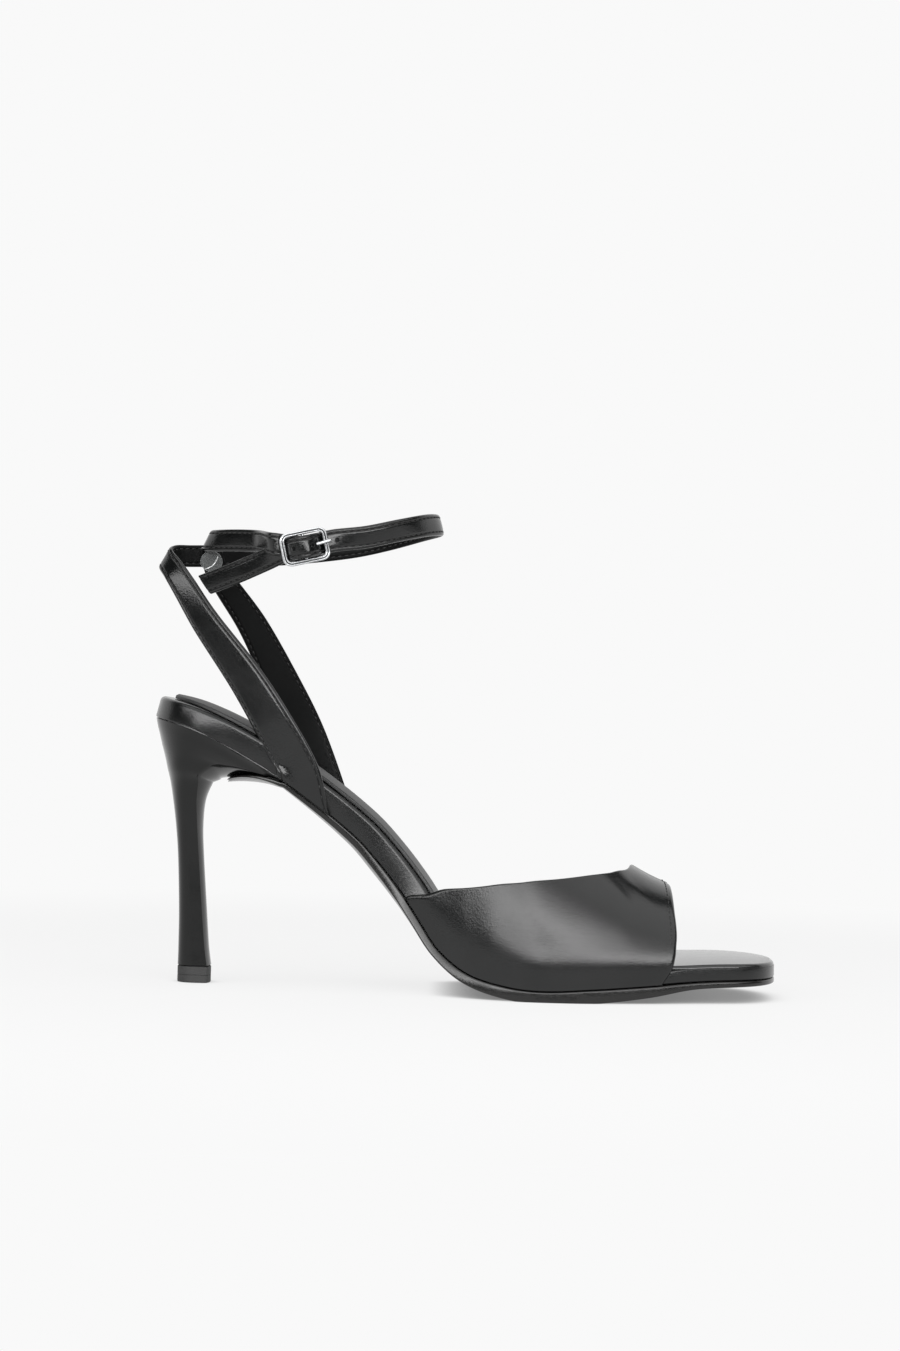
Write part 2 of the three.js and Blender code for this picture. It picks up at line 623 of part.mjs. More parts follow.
function lateralRows() {
  const leg = lateralLeg.map((row) => strapRow(legPoint(row, "lateral"), row.lean, row.swing, strapBaseWidth * row.width));
  const loop = loopRows.map((row) => strapRow(anklePoint(row), row.lean, 0, strapWidth));
  const buckle = buckleRows.map((row) => {
    const out = row.out < 0 ? row.out * behindFrame : row.out * overBar;
    return strapRow(bucklePoint((row.along * buckleLength) / 2, 0, out), strapLean, 0, strapWidth);
  });
  const tail = tailRows.map((row) => strapRow(anklePoint(row), tailLean, 0, strapWidth));
  return [...leg, ...loop, ...buckle, ...tail];
}

function medialRows() {
  const leg = medialLeg.map((row) => strapRow(legPoint(row, "medial"), row.lean, row.swing, strapBaseWidth * row.width));
  const near = nearRows.map((row) => strapRow(anklePoint(row), row.lean, 0, strapWidth));
  const ring = buckleWire / 2 + fit + strapEndThickness / 2;
  const behind = -(behindFrame + strapThickness + fit);
  const end = [
    strapRow(bucklePoint(-buckleLength * 0.62, strapWidth * 0.38, behind), strapLean, 0, strapWidth),
    strapRow(bucklePoint(-buckleLength * 0.30, strapWidth * 0.16, behind * 0.86), strapLean, 0, strapWidth, 1.3),
  ];
  const turns = [-100, -60, -20, 20, 60, 95];
  turns.forEach((degrees) => {
    const turn = THREE.MathUtils.degToRad(degrees);
    const point = bucklePoint(ring * Math.cos(turn), 0, ring * Math.sin(turn));
    end.push(strapRow(point, strapLean, 0, strapWidth, strapEndThickness));
  });
  return [...leg, ...near, ...end];
}

// Strap through its rows: a flat band with its thickness, its ends cut aslant by a slope of each end.
function strap(rows, outward, startSlope, endSlope) {
  const curve = new THREE.CatmullRomCurve3(rows.map((row) => row.point), false, "centripetal");
  const perRow = 3;
  const count = (rows.length - 1) * perRow;
  const blend = (name, i) => {
    const row = Math.min(Math.floor(i / perRow), rows.length - 2);
    return THREE.MathUtils.lerp(rows[row][name], rows[row + 1][name], i / perRow - row);
  };
  const fade = (i) => Math.max(0, 1 - i / (2 * perRow));
  const loops = Array.from({ length: count + 1 }, (_, i) => {
    const middle = curve.getPoint(i / count);
    const ahead = curve.getTangent(i / count);
    const lean = THREE.MathUtils.degToRad(blend("lean", i));
    const swing = THREE.MathUtils.degToRad(blend("swing", i));
    const width = new THREE.Vector3(Math.sin(lean) * Math.cos(swing), Math.sin(swing), Math.cos(lean));
    width.addScaledVector(ahead, -width.dot(ahead)).normalize();
    const out = ahead.clone().cross(width).multiplyScalar(outward);
    const slide = startSlope * fade(i) + endSlope * fade(count - i);
    const corner = (w, n) => middle.clone()
      .addScaledVector(width, (w * blend("width", i)) / 2)
      .addScaledVector(ahead, (w * slide * blend("width", i)) / 2)
      .addScaledVector(out, (n * blend("thickness", i)) / 2);
    return [corner(-1, 1), corner(1, 1), corner(1, -1), corner(-1, -1)];
  });
  return loft(loops);
}

function box(length, width, height, x, y, z) {
  return new THREE.BoxGeometry(length, width, height).translate(x, y, z).applyMatrix4(buckleFrame);
}

// Both straps as one solid, joined by a tack where they cross behind the ankle.
function ankleStraps() {
  const lateral = toManifold(strap(lateralRows(), -1, footSlope, tailSlope));
  const medial = toManifold(strap(medialRows(), 1, footSlope, 0));
  const slotWidth = prongWire + 2 * fit + 0.2;
  const slotDepth = 2 * (buckleWire / 2 + fit + strapEndThickness) + 0.2;
  const slot = toManifold(box(slotDepth + 1, slotWidth, slotDepth, 0, 0, 0));
  const hole = toManifold(box(prongReach * 0.62, prongWire + 2 * fit, overBar * 1.3, prongReach * 0.37, 0, overBar * 0.3));
  const tackLength = 2.3 * strapThickness;
  const pin = new THREE.CylinderGeometry(tackDiameter / 2, tackDiameter / 2, tackLength, 16);
  const tack = toManifold(pin.translate(...anklePoint(tackPlace).toArray()));
  return fromManifold(lateral.subtract(hole).add(medial.subtract(slot)).add(tack));
}

// Wire along a path, with a round section of so many sides.
function wire(path, diameter, steps, sides) {
  const circle = new THREE.Shape();
  circle.absarc(0, 0, diameter / 2, 0, Math.PI * 2);
  const section = new THREE.Shape(circle.getPoints(sides).slice(0, -1));
  return new THREE.ExtrudeGeometry(section, { steps, extrudePath: path, curveSegments: sides });
}

function buckle() {
  const halfLength = buckleLength / 2;
  const halfHeight = buckleHeight / 2;
  const sides = 8;
  const arcSteps = 4;
  const corners = [[1, 1, 0], [-1, 1, 90], [-1, -1, 180], [1, -1, 270]];
  const outline = corners.flatMap(([signX, signY, from]) => Array.from({ length: arcSteps + 1 }, (_, i) => {
    const angle = THREE.MathUtils.degToRad(from + (90 * i) / arcSteps);
    return {
      x: signX * (halfLength - buckleCorner) + buckleCorner * Math.cos(angle),
      y: signY * (halfHeight - buckleCorner) + buckleCorner * Math.sin(angle),
      angle,
    };
  }));
  const loops = outline.map(({ x, y, angle }) => Array.from({ length: sides }, (_, k) => {
    const around = (2 * Math.PI * (k + 0.5)) / sides;
    const reach = (buckleWire / 2) * Math.cos(around);
    const out = (buckleWire / 2) * Math.sin(around);
    return new THREE.Vector3(x + reach * Math.cos(angle), y + reach * Math.sin(angle), out);
  }));
  const points = loops.flat();
  const triangles = [];
  for (let i = 0; i < loops.length; i += 1) {
    for (let k = 0; k < sides; k += 1) {
      const a = i * sides + k;
      const b = i * sides + ((k + 1) % sides);
      const c = ((i + 1) % loops.length) * sides + ((k + 1) % sides);
      const d = ((i + 1) % loops.length) * sides + k;
      triangles.push([a, b, c], [a, c, d]);
    }
  }
  const ring = toManifold(solid(points, triangles));
  const bar = toManifold(new THREE.CylinderGeometry(buckleWire / 2, buckleWire / 2, buckleHeight, sides));
  return fromManifold(ring.add(bar)).applyMatrix4(buckleFrame);
}

function prong() {
  const eye = buckleWire / 2 + fit + prongWire / 2;
  const ring = toManifold(new THREE.TorusGeometry(eye, prongWire / 2, 8, 20).rotateX(Math.PI / 2));
  const lift = buckleWire / 2 + fit + prongWire / 2;
  const path = new THREE.CatmullRomCurve3([
    new THREE.Vector3(eye * 0.3, 0, eye * 0.97),
    new THREE.Vector3(prongReach * 0.4, 0.1, lift * 0.98),
    new THREE.Vector3(prongReach * 0.75, 0.3, lift),
    new THREE.Vector3(prongReach, 0.5, lift),
  ]);
  const arm = toManifold(wire(path, prongWire, 5, 8));
  return fromManifold(ring.add(arm)).applyMatrix4(buckleFrame);
}

function keeper() {
  const disc = new THREE.CylinderGeometry(keeperDiameter / 2, keeperDiameter / 2, keeperThickness, 28);
  return disc.rotateX(THREE.MathUtils.degToRad(keeperTilt));
}

const group = new THREE.Group();

function addPiece(name, geometry, finish) {
  const mesh = new THREE.Mesh(geometry, finish);
  mesh.name = name;
  group.add(mesh);
  return mesh;
}

addPiece("outsole", outsole(), soleFinish);
addPiece("footbed", footbed(), leather);
addPiece("sock", sock(), lining);
addPiece("heel", heel(), heelFinish);
addPiece("heel_tip", heelTip(), tipFinish);
addPiece("vamp", vamp(), leather);
addPiece("ankle_straps", ankleStraps(), leather);
addPiece("buckle", buckle(), silver);
addPiece("buckle_prong", prong(), silver);
addPiece("keeper", keeper(), clearPlastic).position.copy(anklePoint(keeperPlace));

export default group;
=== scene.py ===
from math import pi, radians

import bmesh
import bpy
import numpy as np
from mathutils import Matrix, Vector


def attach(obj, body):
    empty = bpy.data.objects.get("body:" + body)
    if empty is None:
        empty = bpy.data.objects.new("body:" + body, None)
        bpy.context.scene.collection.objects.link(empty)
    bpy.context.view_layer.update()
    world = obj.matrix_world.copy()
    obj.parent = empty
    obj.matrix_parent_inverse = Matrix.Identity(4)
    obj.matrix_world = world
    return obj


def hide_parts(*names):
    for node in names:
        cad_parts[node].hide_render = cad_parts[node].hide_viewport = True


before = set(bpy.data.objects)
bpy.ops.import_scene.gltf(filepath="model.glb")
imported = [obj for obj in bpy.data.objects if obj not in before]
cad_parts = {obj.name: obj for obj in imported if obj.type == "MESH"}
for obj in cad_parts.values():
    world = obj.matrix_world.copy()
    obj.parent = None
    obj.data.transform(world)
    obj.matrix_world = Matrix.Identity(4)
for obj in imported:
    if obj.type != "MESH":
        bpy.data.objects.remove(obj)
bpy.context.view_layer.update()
print("frame loaded:", len(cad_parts), "nodes")

# Sizes and tables are millimetres and shares of named sizes; meshes are made in metres.
# +X runs to the toe, -Y is the lateral side, and the floor is at 0.
toMetres = 0.001

soleLine = {
    "length": 211.5,
    "seatBack": 14.5,
    "seatHeight": 89.7,
    "ballWidth": 78.0,
    "seatRound": 24.0,
    "toeRound": 19.0,
    "powers": (2.15, 2.5),
    "fit": 0.3,
    "vampWall": 1.8,
}
soleRows = {
    "at": [0.000, 0.068, 0.153, 0.245, 0.329, 0.371, 0.407, 0.430, 0.461,
           0.507, 0.567, 0.624, 0.700, 0.790, 0.860, 0.920, 1.000],
    "rise": [1.000, 0.959, 0.861, 0.724, 0.571, 0.464, 0.357, 0.278, 0.174,
             0.092, 0.053, 0.041, 0.050, 0.064, 0.078, 0.085, 0.088],
    "lateral": [0.322, 0.325, 0.310, 0.274, 0.247, 0.249, 0.263, 0.288, 0.331,
                0.401, 0.477, 0.505, 0.495, 0.438, 0.391, 0.362, 0.335],
    "medial": [0.322, 0.325, 0.315, 0.288, 0.266, 0.260, 0.259, 0.264, 0.281,
               0.326, 0.400, 0.455, 0.487, 0.466, 0.417, 0.384, 0.330],
    "board": [0.96, 0.95, 0.99, 0.95, 0.96, 0.98, 0.98, 0.97, 0.94,
              0.88, 0.78, 0.70, 0.66, 0.60, 0.56, 0.54, 0.50],
    "leather": [0.30, 0.30, 0.34, 0.58, 0.74, 0.80, 0.82, 0.80, 0.80,
                0.96, 1.14, 1.22, 1.34, 1.08, 0.66, 0.60, 0.54],
    "round": [0.10, 0.10, 0.14, 0.30, 0.40, 0.42, 0.32, 0.20, 0.14,
              0.10, 0.08, 0.08, 0.08, 0.06, 0.06, 0.06, 0.06],
    "ledge": [0, 0, 0, 0.1, 0.1, 0.3, 0.6, 0.9, 1.1, 1.2, 1.2, 1.2, 1.2, 1.2, 0.6, 0.4, 0.3],
}


# Cubic through a table's rows; a row's slope is that of the line between its two neighbours.
def column(rows, key, name, at):
    keys, values = np.array(rows[key], float), np.array(rows[name], float)
    row = np.arange(len(keys))
    before, after = np.maximum(row - 1, 0), np.minimum(row + 1, len(keys) - 1)
    slopes = (values[after] - values[before]) / (keys[after] - keys[before])
    i = np.clip(np.searchsorted(keys, at, side="right") - 1, 0, len(keys) - 2)
    span = keys[i + 1] - keys[i]
    t = np.clip((at - keys[i]) / span, 0, 1)
    rise = values[i + 1] - values[i]
    bend = (slopes[i] * span - rise) * (1 - t) + (rise - slopes[i + 1] * span) * t
    return values[i] + t * rise + t * (1 - t) * bend


def sole(name, at):
    return column(soleRows, "at", name, at)


def stack(x, y, z):
    return np.stack(np.broadcast_arrays(x, y, z), -1).astype(float)


# Point from its place along the sole line, to the side, and square to the line.
def place(at, side, height):
    step = 0.004
    low, high = np.clip(at - step, 0, 1), np.clip(at + step, 0, 1)
    rise = soleLine["seatHeight"] * (sole("rise", high) - sole("rise", low))
    turn = np.arctan2(rise, soleLine["length"] * (high - low))
    x = soleLine["length"] * at - soleLine["seatBack"] - np.sin(turn) * height
    z = soleLine["seatHeight"] * sole("rise", at) + np.cos(turn) * height
    return stack(x, side, z)


# Rounding of an outline's end: 0 at the end, 1 past the rounding, along a superellipse.
def endRound(distance, length, power):
    left = np.clip(1 - distance / length, 0, 1)
    return (1 - left ** power) ** (1 / power)


# Rounding of the outline at the back and at the toe, each with its inset.
def roundEnds(at, back, toe, powers=soleLine["powers"]):
    length = soleLine["length"]
    return (endRound(length * at - back, soleLine["seatRound"], powers[0])
            * endRound(length * (1 - at) - toe, soleLine["toeRound"], powers[1]))


# Half width of the sole's outline on one side, drawn in by an inset, which can differ at the back and the toe.
def halfWidth(name, at, inset=0.0, back=None, toe=None):
    ends = roundEnds(at, inset if back is None else back, inset if toe is None else toe)
    return (soleLine["ballWidth"] * sole(name, at) - inset) * ends


def crowded(count, power=1.0):
    even = np.linspace(0, 1, count + 1)
    return (1 - power) * even + power * 0.5 * (1 - np.cos(pi * even))


# Faces between rings of points; closed joins the last ring to the first.
def ringFaces(rows, columns, closed=False):
    i, j = np.meshgrid(np.arange(rows if closed else rows - 1), np.arange(columns), indexing="ij")
    here, there = i * columns, (i + 1) % rows * columns
    after = (j + 1) % columns
    return np.stack([here + j, here + after, there + after, there + j], -1).reshape(-1, 4).tolist()


# Mesh object from rings of points in millimetres, with flat ends where caps is true. Points nearer to each
# other than merge become one, which closes seams and poles.
def addPiece(name, points, material, slot, nodes=(), faces=None, caps=False, places=None, sharp=35,
             merge=2e-3):
    rows, columns = points.shape[:2]
    if faces is None:
        faces = ringFaces(rows, columns)
    if caps:
        faces += [list(range(columns))[::-1], list(range((rows - 1) * columns, rows * columns))]
    mesh = bpy.data.meshes.new(name)
    mesh.from_pydata((points.reshape(-1, 3) * toMetres).tolist(), [], faces)
    if places is not None:
        layer = mesh.attributes.new("place", "FLOAT_VECTOR", "POINT")
        layer.data.foreach_set("vector", places.reshape(-1).astype(np.float32))
    body = bmesh.new()
    body.from_mesh(mesh)
    bmesh.ops.remove_doubles(body, verts=body.verts, dist=merge * toMetres)
    bmesh.ops.dissolve_degenerate(body, edges=body.edges, dist=1e-7)
    bmesh.ops.recalc_face_normals(body, faces=body.faces)
    openEdges = sum(1 for edge in body.edges if len(edge.link_faces) != 2)
    body.to_mesh(mesh)
    body.free()
    mesh.shade_smooth()
    mesh.set_sharp_from_angle(angle=radians(sharp))
    piece = bpy.data.objects.new(name, mesh)
    bpy.context.scene.collection.objects.link(piece)
    mesh.materials.append(material)
    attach(piece, "root")
    if nodes:
        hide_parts(*nodes)
    print("piece", name, len(mesh.polygons), "faces,", openEdges, "open edges")


# Shader socket in an expression: numbers and sockets combine through Math nodes.
class Value:
    def __init__(self, maker, socket):
        self.maker, self.socket = maker, socket

    def join(self, operation, first, second=None):
        inputs = {0: first} if second is None else {0: first, 1: second}
        return self.maker.node("ShaderNodeMath", {"operation": operation}, inputs)[0]

    def __add__(self, other):
        return self.join("ADD", self, other)

    def __sub__(self, other):
        return self.join("SUBTRACT", self, other)

    def __rsub__(self, other):
        return self.join("SUBTRACT", other, self)

    def __mul__(self, other):
        return self.join("MULTIPLY", self, other)

    def __truediv__(self, other):
        return self.join("DIVIDE", self, other)

    def __abs__(self):
        return self.join("ABSOLUTE", self)

    def root(self):
        return self.join("SQRT", self)

    __radd__, __rmul__ = __add__, __mul__

    # 0 below low, 1 above high, smooth between
    def smooth(self, low, high):
        settings = {"interpolation_type": "SMOOTHSTEP"}
        inputs = {"Value": self, "From Min": low, "From Max": high}
        return self.maker.node("ShaderNodeMapRange", settings, inputs)[0]


class Maker:
    def __init__(self, name):
        self.material = bpy.data.materials.new(name)
        self.material.use_nodes = True
        self.tree = self.material.node_tree
        self.tree.nodes.clear()
        self.object = self.node("ShaderNodeTexCoord")["Object"]

    # A node by its type: settings first, then values or links of its inputs; outputs by name or number.
    def node(self, kind, settings=None, inputs=None):
        made = self.tree.nodes.new(kind)
        for key, value in (settings or {}).items():
            setattr(made, key, value)
        for key, value in (inputs or {}).items():
            socket = made.inputs[key]
            if isinstance(value, Value):
                self.tree.links.new(value.socket, socket)
            elif value is not None:
                socket.default_value = value
        return Outputs(self, made)

    def noise(self, size, detail=2.0):
        inputs = {"Vector": self.object, "Scale": 1 / (size * toMetres), "Detail": detail}
        return self.node("ShaderNodeTexNoise", None, inputs)["Fac"]

    def cells(self, size):
        inputs = {"Vector": self.object, "Scale": 1 / (size * toMetres)}
        return self.node("ShaderNodeTexVoronoi", {"feature": "SMOOTH_F1"}, inputs)["Distance"]

    def blend(self, factor, first, second):
        return self.node("ShaderNodeMix", {"data_type": "RGBA"}, {0: factor, 6: first, 7: second})[2]

    def parts(self, vector):
        split = self.node("ShaderNodeSeparateXYZ", None, {"Vector": vector})
        return split["X"], split["Y"], split["Z"]

    # The places that a piece's mesh carries.
    def places(self):
        return self.parts(self.node("ShaderNodeAttribute", {"attribute_name": "place"})["Vector"])

    def bump(self, height, depth, normal=None):
        inputs = {"Height": height, "Distance": depth * toMetres, "Strength": 1.0, "Normal": normal}
        return self.node("ShaderNodeBump", None, inputs)["Normal"]

    def surface(self, **inputs):
        named = {key.replace("_", " "): value for key, value in inputs.items()}
        return self.node("ShaderNodeBsdfPrincipled", None, named)["BSDF"]

    def output(self, surface):
        self.node("ShaderNodeOutputMaterial", None, {"Surface": surface})
        return self.material

    def finish(self, **inputs):
        return self.output(self.surface(**inputs))


class Outputs:
    def __init__(self, maker, made):
        self.maker, self.made = maker, made

    def __getitem__(self, key):
        return Value(self.maker, self.made.outputs[key])


leatherLook = {
    "colour": (0.0026, 0.0029, 0.0029, 1),
    "worn": (0.0045, 0.0048, 0.0048, 1),
    "roughness": 0.20,
    "grainSize": 0.45,
    "grainDepth": 0.032,
    "hazeSize": 14.0,
    "swellSize": 6.0,
    "swellDepth": 0.03,
}


# What all the black leather shares: haze, pebbled grain, finer grain and colour.
def leatherParts(shader, hazeSize):
    look = leatherLook
    haze = shader.noise(hazeSize, 3.0)
    grain = shader.cells(look["grainSize"])
    fine = shader.noise(look["grainSize"] * 0.45)
    return haze, grain, fine, shader.blend(haze.smooth(0.35, 0.75), look["colour"], look["worn"])


# Smooth black leather: fine pebbled grain in the bump, soft haze in colour and gloss.
def smoothLeather(name):
    look = leatherLook
    shader = Maker(name)
    haze, grain, fine, colour = leatherParts(shader, look["hazeSize"])
    roughness = look["roughness"] + (haze - 0.5) * 0.10 + (fine - 0.5) * 0.08
    normal = shader.bump(shader.noise(look["swellSize"]), look["swellDepth"])
    normal = shader.bump(grain + fine * 0.6, look["grainDepth"], normal)
    return shader.finish(Base_Color=colour, Roughness=roughness, Normal=normal, IOR=1.5)


footbedLook = {
    "thickness": 7.6,
    "edge": 1.5,
    "toeEdge": 0.15,
    "lowEdge": 0.4,
    "stations": 150,
}


# Closed layer of the sole: rings of the outline, each with an inset, a share of the half width and a height.
# A ring runs from the back along the lateral side to the toe and back along the medial side.
def layerPoints(rings, first, last, stations, reach=halfWidth):
    steps = crowded(stations, 0.9)
    loops = []
    for inset, share, height in rings:
        low = first + inset(first) / soleLine["length"]
        high = last - inset(last) / soleLine["length"]
        at = low + (high - low) * steps
        heights = height(at, share)
        lateral = place(at, -share * reach("lateral", at, inset(at)), heights)
        medial = place(at, share * reach("medial", at, inset(at)), heights)
        loops.append(np.concatenate([lateral, medial[-2:0:-1]]))
    return np.array(loops)


def fixed(value):
    return lambda at: value + 0.0 * at


# Goes from 0 to 1 between two places, smoothly.
def fade(at, first, last):
    t = np.clip((at - first) / (last - first), 0, 1)
    return t * t * (3 - 2 * t)


# How far the toe's open part is reached, where the sock runs out to the board's edge.
def toeShare(at):
    return fade(at, sockLook["toeFrom"], sockLook["toeTo"])


# Where a slab's rings lie under and over its edge, as shares of the half width, and how many turn over the
# upper edge.
padShares = {
    "low": (0.0, 0.3, 0.6, 0.85, 0.96),
    "high": (0.985, 0.96, 0.9, 0.78, 0.6, 0.4, 0.2, 0.0),
    "turns": 9,
}
soleShares = {
    "low": (0.0, 0.2, 0.4, 0.6, 0.75, 0.87, 0.95),
    "high": (0.95, 0.87, 0.75, 0.6, 0.4, 0.2, 0.0),
    "turns": 5,
}


# Insets, shares and heights of a slab's section, from the middle of its underside over its edge to the middle
# of its top. Heights and the edges' radii are functions of the place along the sole.
def slabRings(low, high, lowEdge, edge, shares, crown=lambda at, share: 0.0 * at):
    rings = [(lowEdge, share, low) for share in shares["low"]]
    for turn in np.linspace(0, pi / 2, 5):
        rings.append((lambda at, turn=turn: lowEdge(at) * (1 - np.sin(turn)), 1.0,
                      lambda at, share, turn=turn: low(at, share) + lowEdge(at) * (1 - np.cos(turn))))
    for turn in np.linspace(0, pi / 2, shares["turns"]):
        rings.append((lambda at, turn=turn: edge(at) * (1 - np.cos(turn)), 1.0,
                      lambda at, share, turn=turn: high(at, share) - edge(at) * (1 - np.sin(turn))))
    for share in shares["high"]:
        rings.append((edge, share, lambda at, share: high(at, share) + crown(at, share)))
    return rings


def boardTop(at, share=0.0):
    return footbedLook["thickness"] * sole("board", at)


def makeFootbed():
    look = footbedLook

    def edge(at):
        return look["edge"] + (look["toeEdge"] - look["edge"]) * toeShare(at)

    rings = slabRings(lambda at, share: 0.0 * at, boardTop, fixed(look["lowEdge"]), edge, padShares)
    points = layerPoints(rings, 0.0, 1.0, look["stations"])
    addPiece("covered_footbed", points, smoothLeather("footbedLeather"), "footbed_cover", ["footbed"])


sockLook = {
    "thickness": 1.3,
    "crown": 0.6,
    "inset": 2.0,
    "toeInset": 0.15,
    "toeFrom": 0.79,
    "toeTo": 0.86,
    "backInset": 4.8,
    "edge": 0.6,
    "toeEdge": 1.2,
    "stations": 150,
    "colour": (0.010, 0.0105, 0.0105, 1),
    "light": (0.018, 0.0185, 0.0185, 1),
    "roughness": 0.14,
    "seatRoughness": 0.55,
    "seatFrom": 50.0,
    "seatTo": 150.0,
    "cloudSize": 22.0,
    "grainSize": 0.55,
    "fineSize": 0.3,
}


def makeSock():
    look = sockLook

    def outline(name, at, inset):
        side = look["inset"] + (look["toeInset"] - look["inset"]) * toeShare(at)
        return halfWidth(name, at, side + inset, look["backInset"] + inset, look["toeInset"] + inset)

    def low(at, share):
        return boardTop(at) + soleLine["fit"] * (1 - 0.95 * toeShare(at))

    def high(at, share):
        return low(at, share) + look["thickness"]

    def crown(at, share):
        ends = roundEnds(at, look["backInset"], look["toeInset"], (2, 2))
        return look["crown"] * (0.25 + 0.75 * ends) * (1 - share ** 2)

    def edge(at):
        return look["edge"] + (look["toeEdge"] - look["edge"]) * toeShare(at)

    def lowEdge(at):
        return 0.25 - 0.2 * toeShare(at)

    rings = slabRings(low, high, lowEdge, edge, padShares, crown)
    first = look["backInset"] / soleLine["length"]
    last = 1 - look["toeInset"] / soleLine["length"]
    points = layerPoints(rings, first, last, look["stations"], outline)
    shader = Maker("sockLeather")
    cloud = shader.noise(look["cloudSize"], 4.0)
    grain = shader.cells(look["grainSize"])
    fine = shader.noise(look["fineSize"])
    colour = shader.blend(cloud.smooth(0.3, 0.75), look["colour"], look["light"])
    normal = shader.bump(grain * 0.7 + fine * 0.8, 0.02)
    seat = 1 - shader.parts(shader.object)[0].smooth(look["seatFrom"] * toMetres, look["seatTo"] * toMetres)
    matt = seat * (look["seatRoughness"] - look["roughness"])
    roughness = look["roughness"] + matt + (fine - 0.5) * 0.2
    material = shader.finish(Base_Color=colour, Roughness=roughness, Normal=normal)
    addPiece("padded_sock", points, material, "sock", ["sock"])


heelLook = {
    "reach": 45.3,
    "stemWidth": 10.8,
    "stemDepth": 11.0,
    "tipWidth": 11.2,
    "tipHeight": 5.5,
    "tipChamfer": 0.25,
    "tipSeam": 0.12,
    "liftHeight": 2.6,
    "belly": 5.8,
    "tongueStart": 30.0,
    "rows": 130,
    "colour": (0.0030, 0.0032, 0.0031, 1),
    "light": (0.0042, 0.0044, 0.0043, 1),
    "roughness": 0.15,
    "ior": 1.4,
    "cloudSize": 16.0,
    "cloudDepth": 0.12,
    "grainSize": 0.5,
    "grainDepth": 0.008,
    "rubber": (0.014, 0.014, 0.014, 1),
    "rubberLight": (0.024, 0.024, 0.024, 1),
}
blockRows = {
    "reach": [1.000, 0.889, 0.755, 0.638, 0.539, 0.483],
    "depth": [0.00, 0.20, 0.49, 0.75, 1.06, 1.66],
    "rear": [0.985, 0.938, 0.887, 0.830, 0.758, 0.697],
    "rearRise": [0.9965, 0.9660, 0.9330, 0.8940, 0.8500, 0.8060],
    "half": [1.00, 0.94, 0.88, 0.81, 0.725, 0.62],
    "belly": [0.00, 0.20, 0.52, 0.88, 0.97, 0.90],
    "seat": [1.0, 0.9, 0.75, 0.6, 0.4, 0.2],
}
stemRows = {
    "rise": [0.756, 0.684, 0.585, 0.469, 0.281, 0.140],
    "rear": [0.624, 0.548, 0.466, 0.403, 0.352, 0.342],
    "front": [0.110, 0.050, 0.080, 0.145, 0.275, 0.385],
    "half": [1.11, 0.81, 0.59, 0.50, 0.495, 0.505],
    "belly": [0.70, 0.43, 0.27, 0.24, 0.23, 0.20],
}
tipShares = {"rear": 0.455, "front": 0.475, "belly": 0.19}


# Depth of the heel's seat block below the footbed, at a place on the sole line and a share of its half width.
def blockDepth(at, share):
    reach = at * soleLine["length"] / heelLook["reach"]
    rows = {name: values[::-1] for name, values in blockRows.items()}
    depth = footbedLook["thickness"] * column(rows, "reach", "depth", reach)
    belly = heelLook["belly"] * column(rows, "reach", "belly", reach)
    return np.where(reach < 1, depth + belly * (1 - share ** 2), 0.0)


# Rows of the heel: rear and front points of a section, its half width, belly, the way that the belly points,
# and how much of the seat's outline the section keeps.
def heelRows():
    look, line = heelLook, soleLine
    block = blockRows
    at = np.array(block["reach"]) * look["reach"] / line["length"]
    depth = line["fit"] + footbedLook["thickness"] * np.array(block["depth"])
    rearHeight = line["seatHeight"] * np.array(block["rearRise"])
    rear = stack(-line["seatBack"] * np.array(block["rear"]), 0, rearHeight)
    rear[0] = place(np.array(0.5 / line["length"]), 0, -line["fit"])
    front = place(at, 0, -depth)
    down = place(at, 0, -depth - 1) - front
    stem = stemRows
    height = line["seatHeight"] * np.array(stem["rise"])
    stemRear = stack(-line["seatBack"] * np.array(stem["rear"]), 0, height)
    stemFront = stack(look["stemDepth"] * np.array(stem["front"]), 0, height)
    top = look["tipHeight"] + line["fit"]
    tipRear = stack(-look["stemDepth"] * tipShares["rear"], 0, top)[None]
    tipFront = stack(look["stemDepth"] * tipShares["front"], 0, top)[None]
    seatHalf = line["ballWidth"] * sole("lateral", look["reach"] / line["length"] / 3)
    fronts = np.concatenate([front, stemFront, tipFront])
    ahead = unit(np.gradient(fronts, axis=0))
    square = stack(-ahead[:, 2], 0, ahead[:, 0])
    square[:4] = down[:4]
    return {
        "rear": np.concatenate([rear, stemRear, tipRear]),
        "front": fronts,
        "square": square,
        "half": np.array([seatHalf * share for share in block["half"]]
                         + [look["stemWidth"] * share for share in stem["half"]] + [look["tipWidth"] / 2]),
        "belly": look["belly"] * np.array(block["belly"] + stem["belly"] + [tipShares["belly"]]),
        "seat": np.array(block["seat"] + [0.0] * (len(stem["rise"]) + 1)),
        "seatHalf": seatHalf,
    }


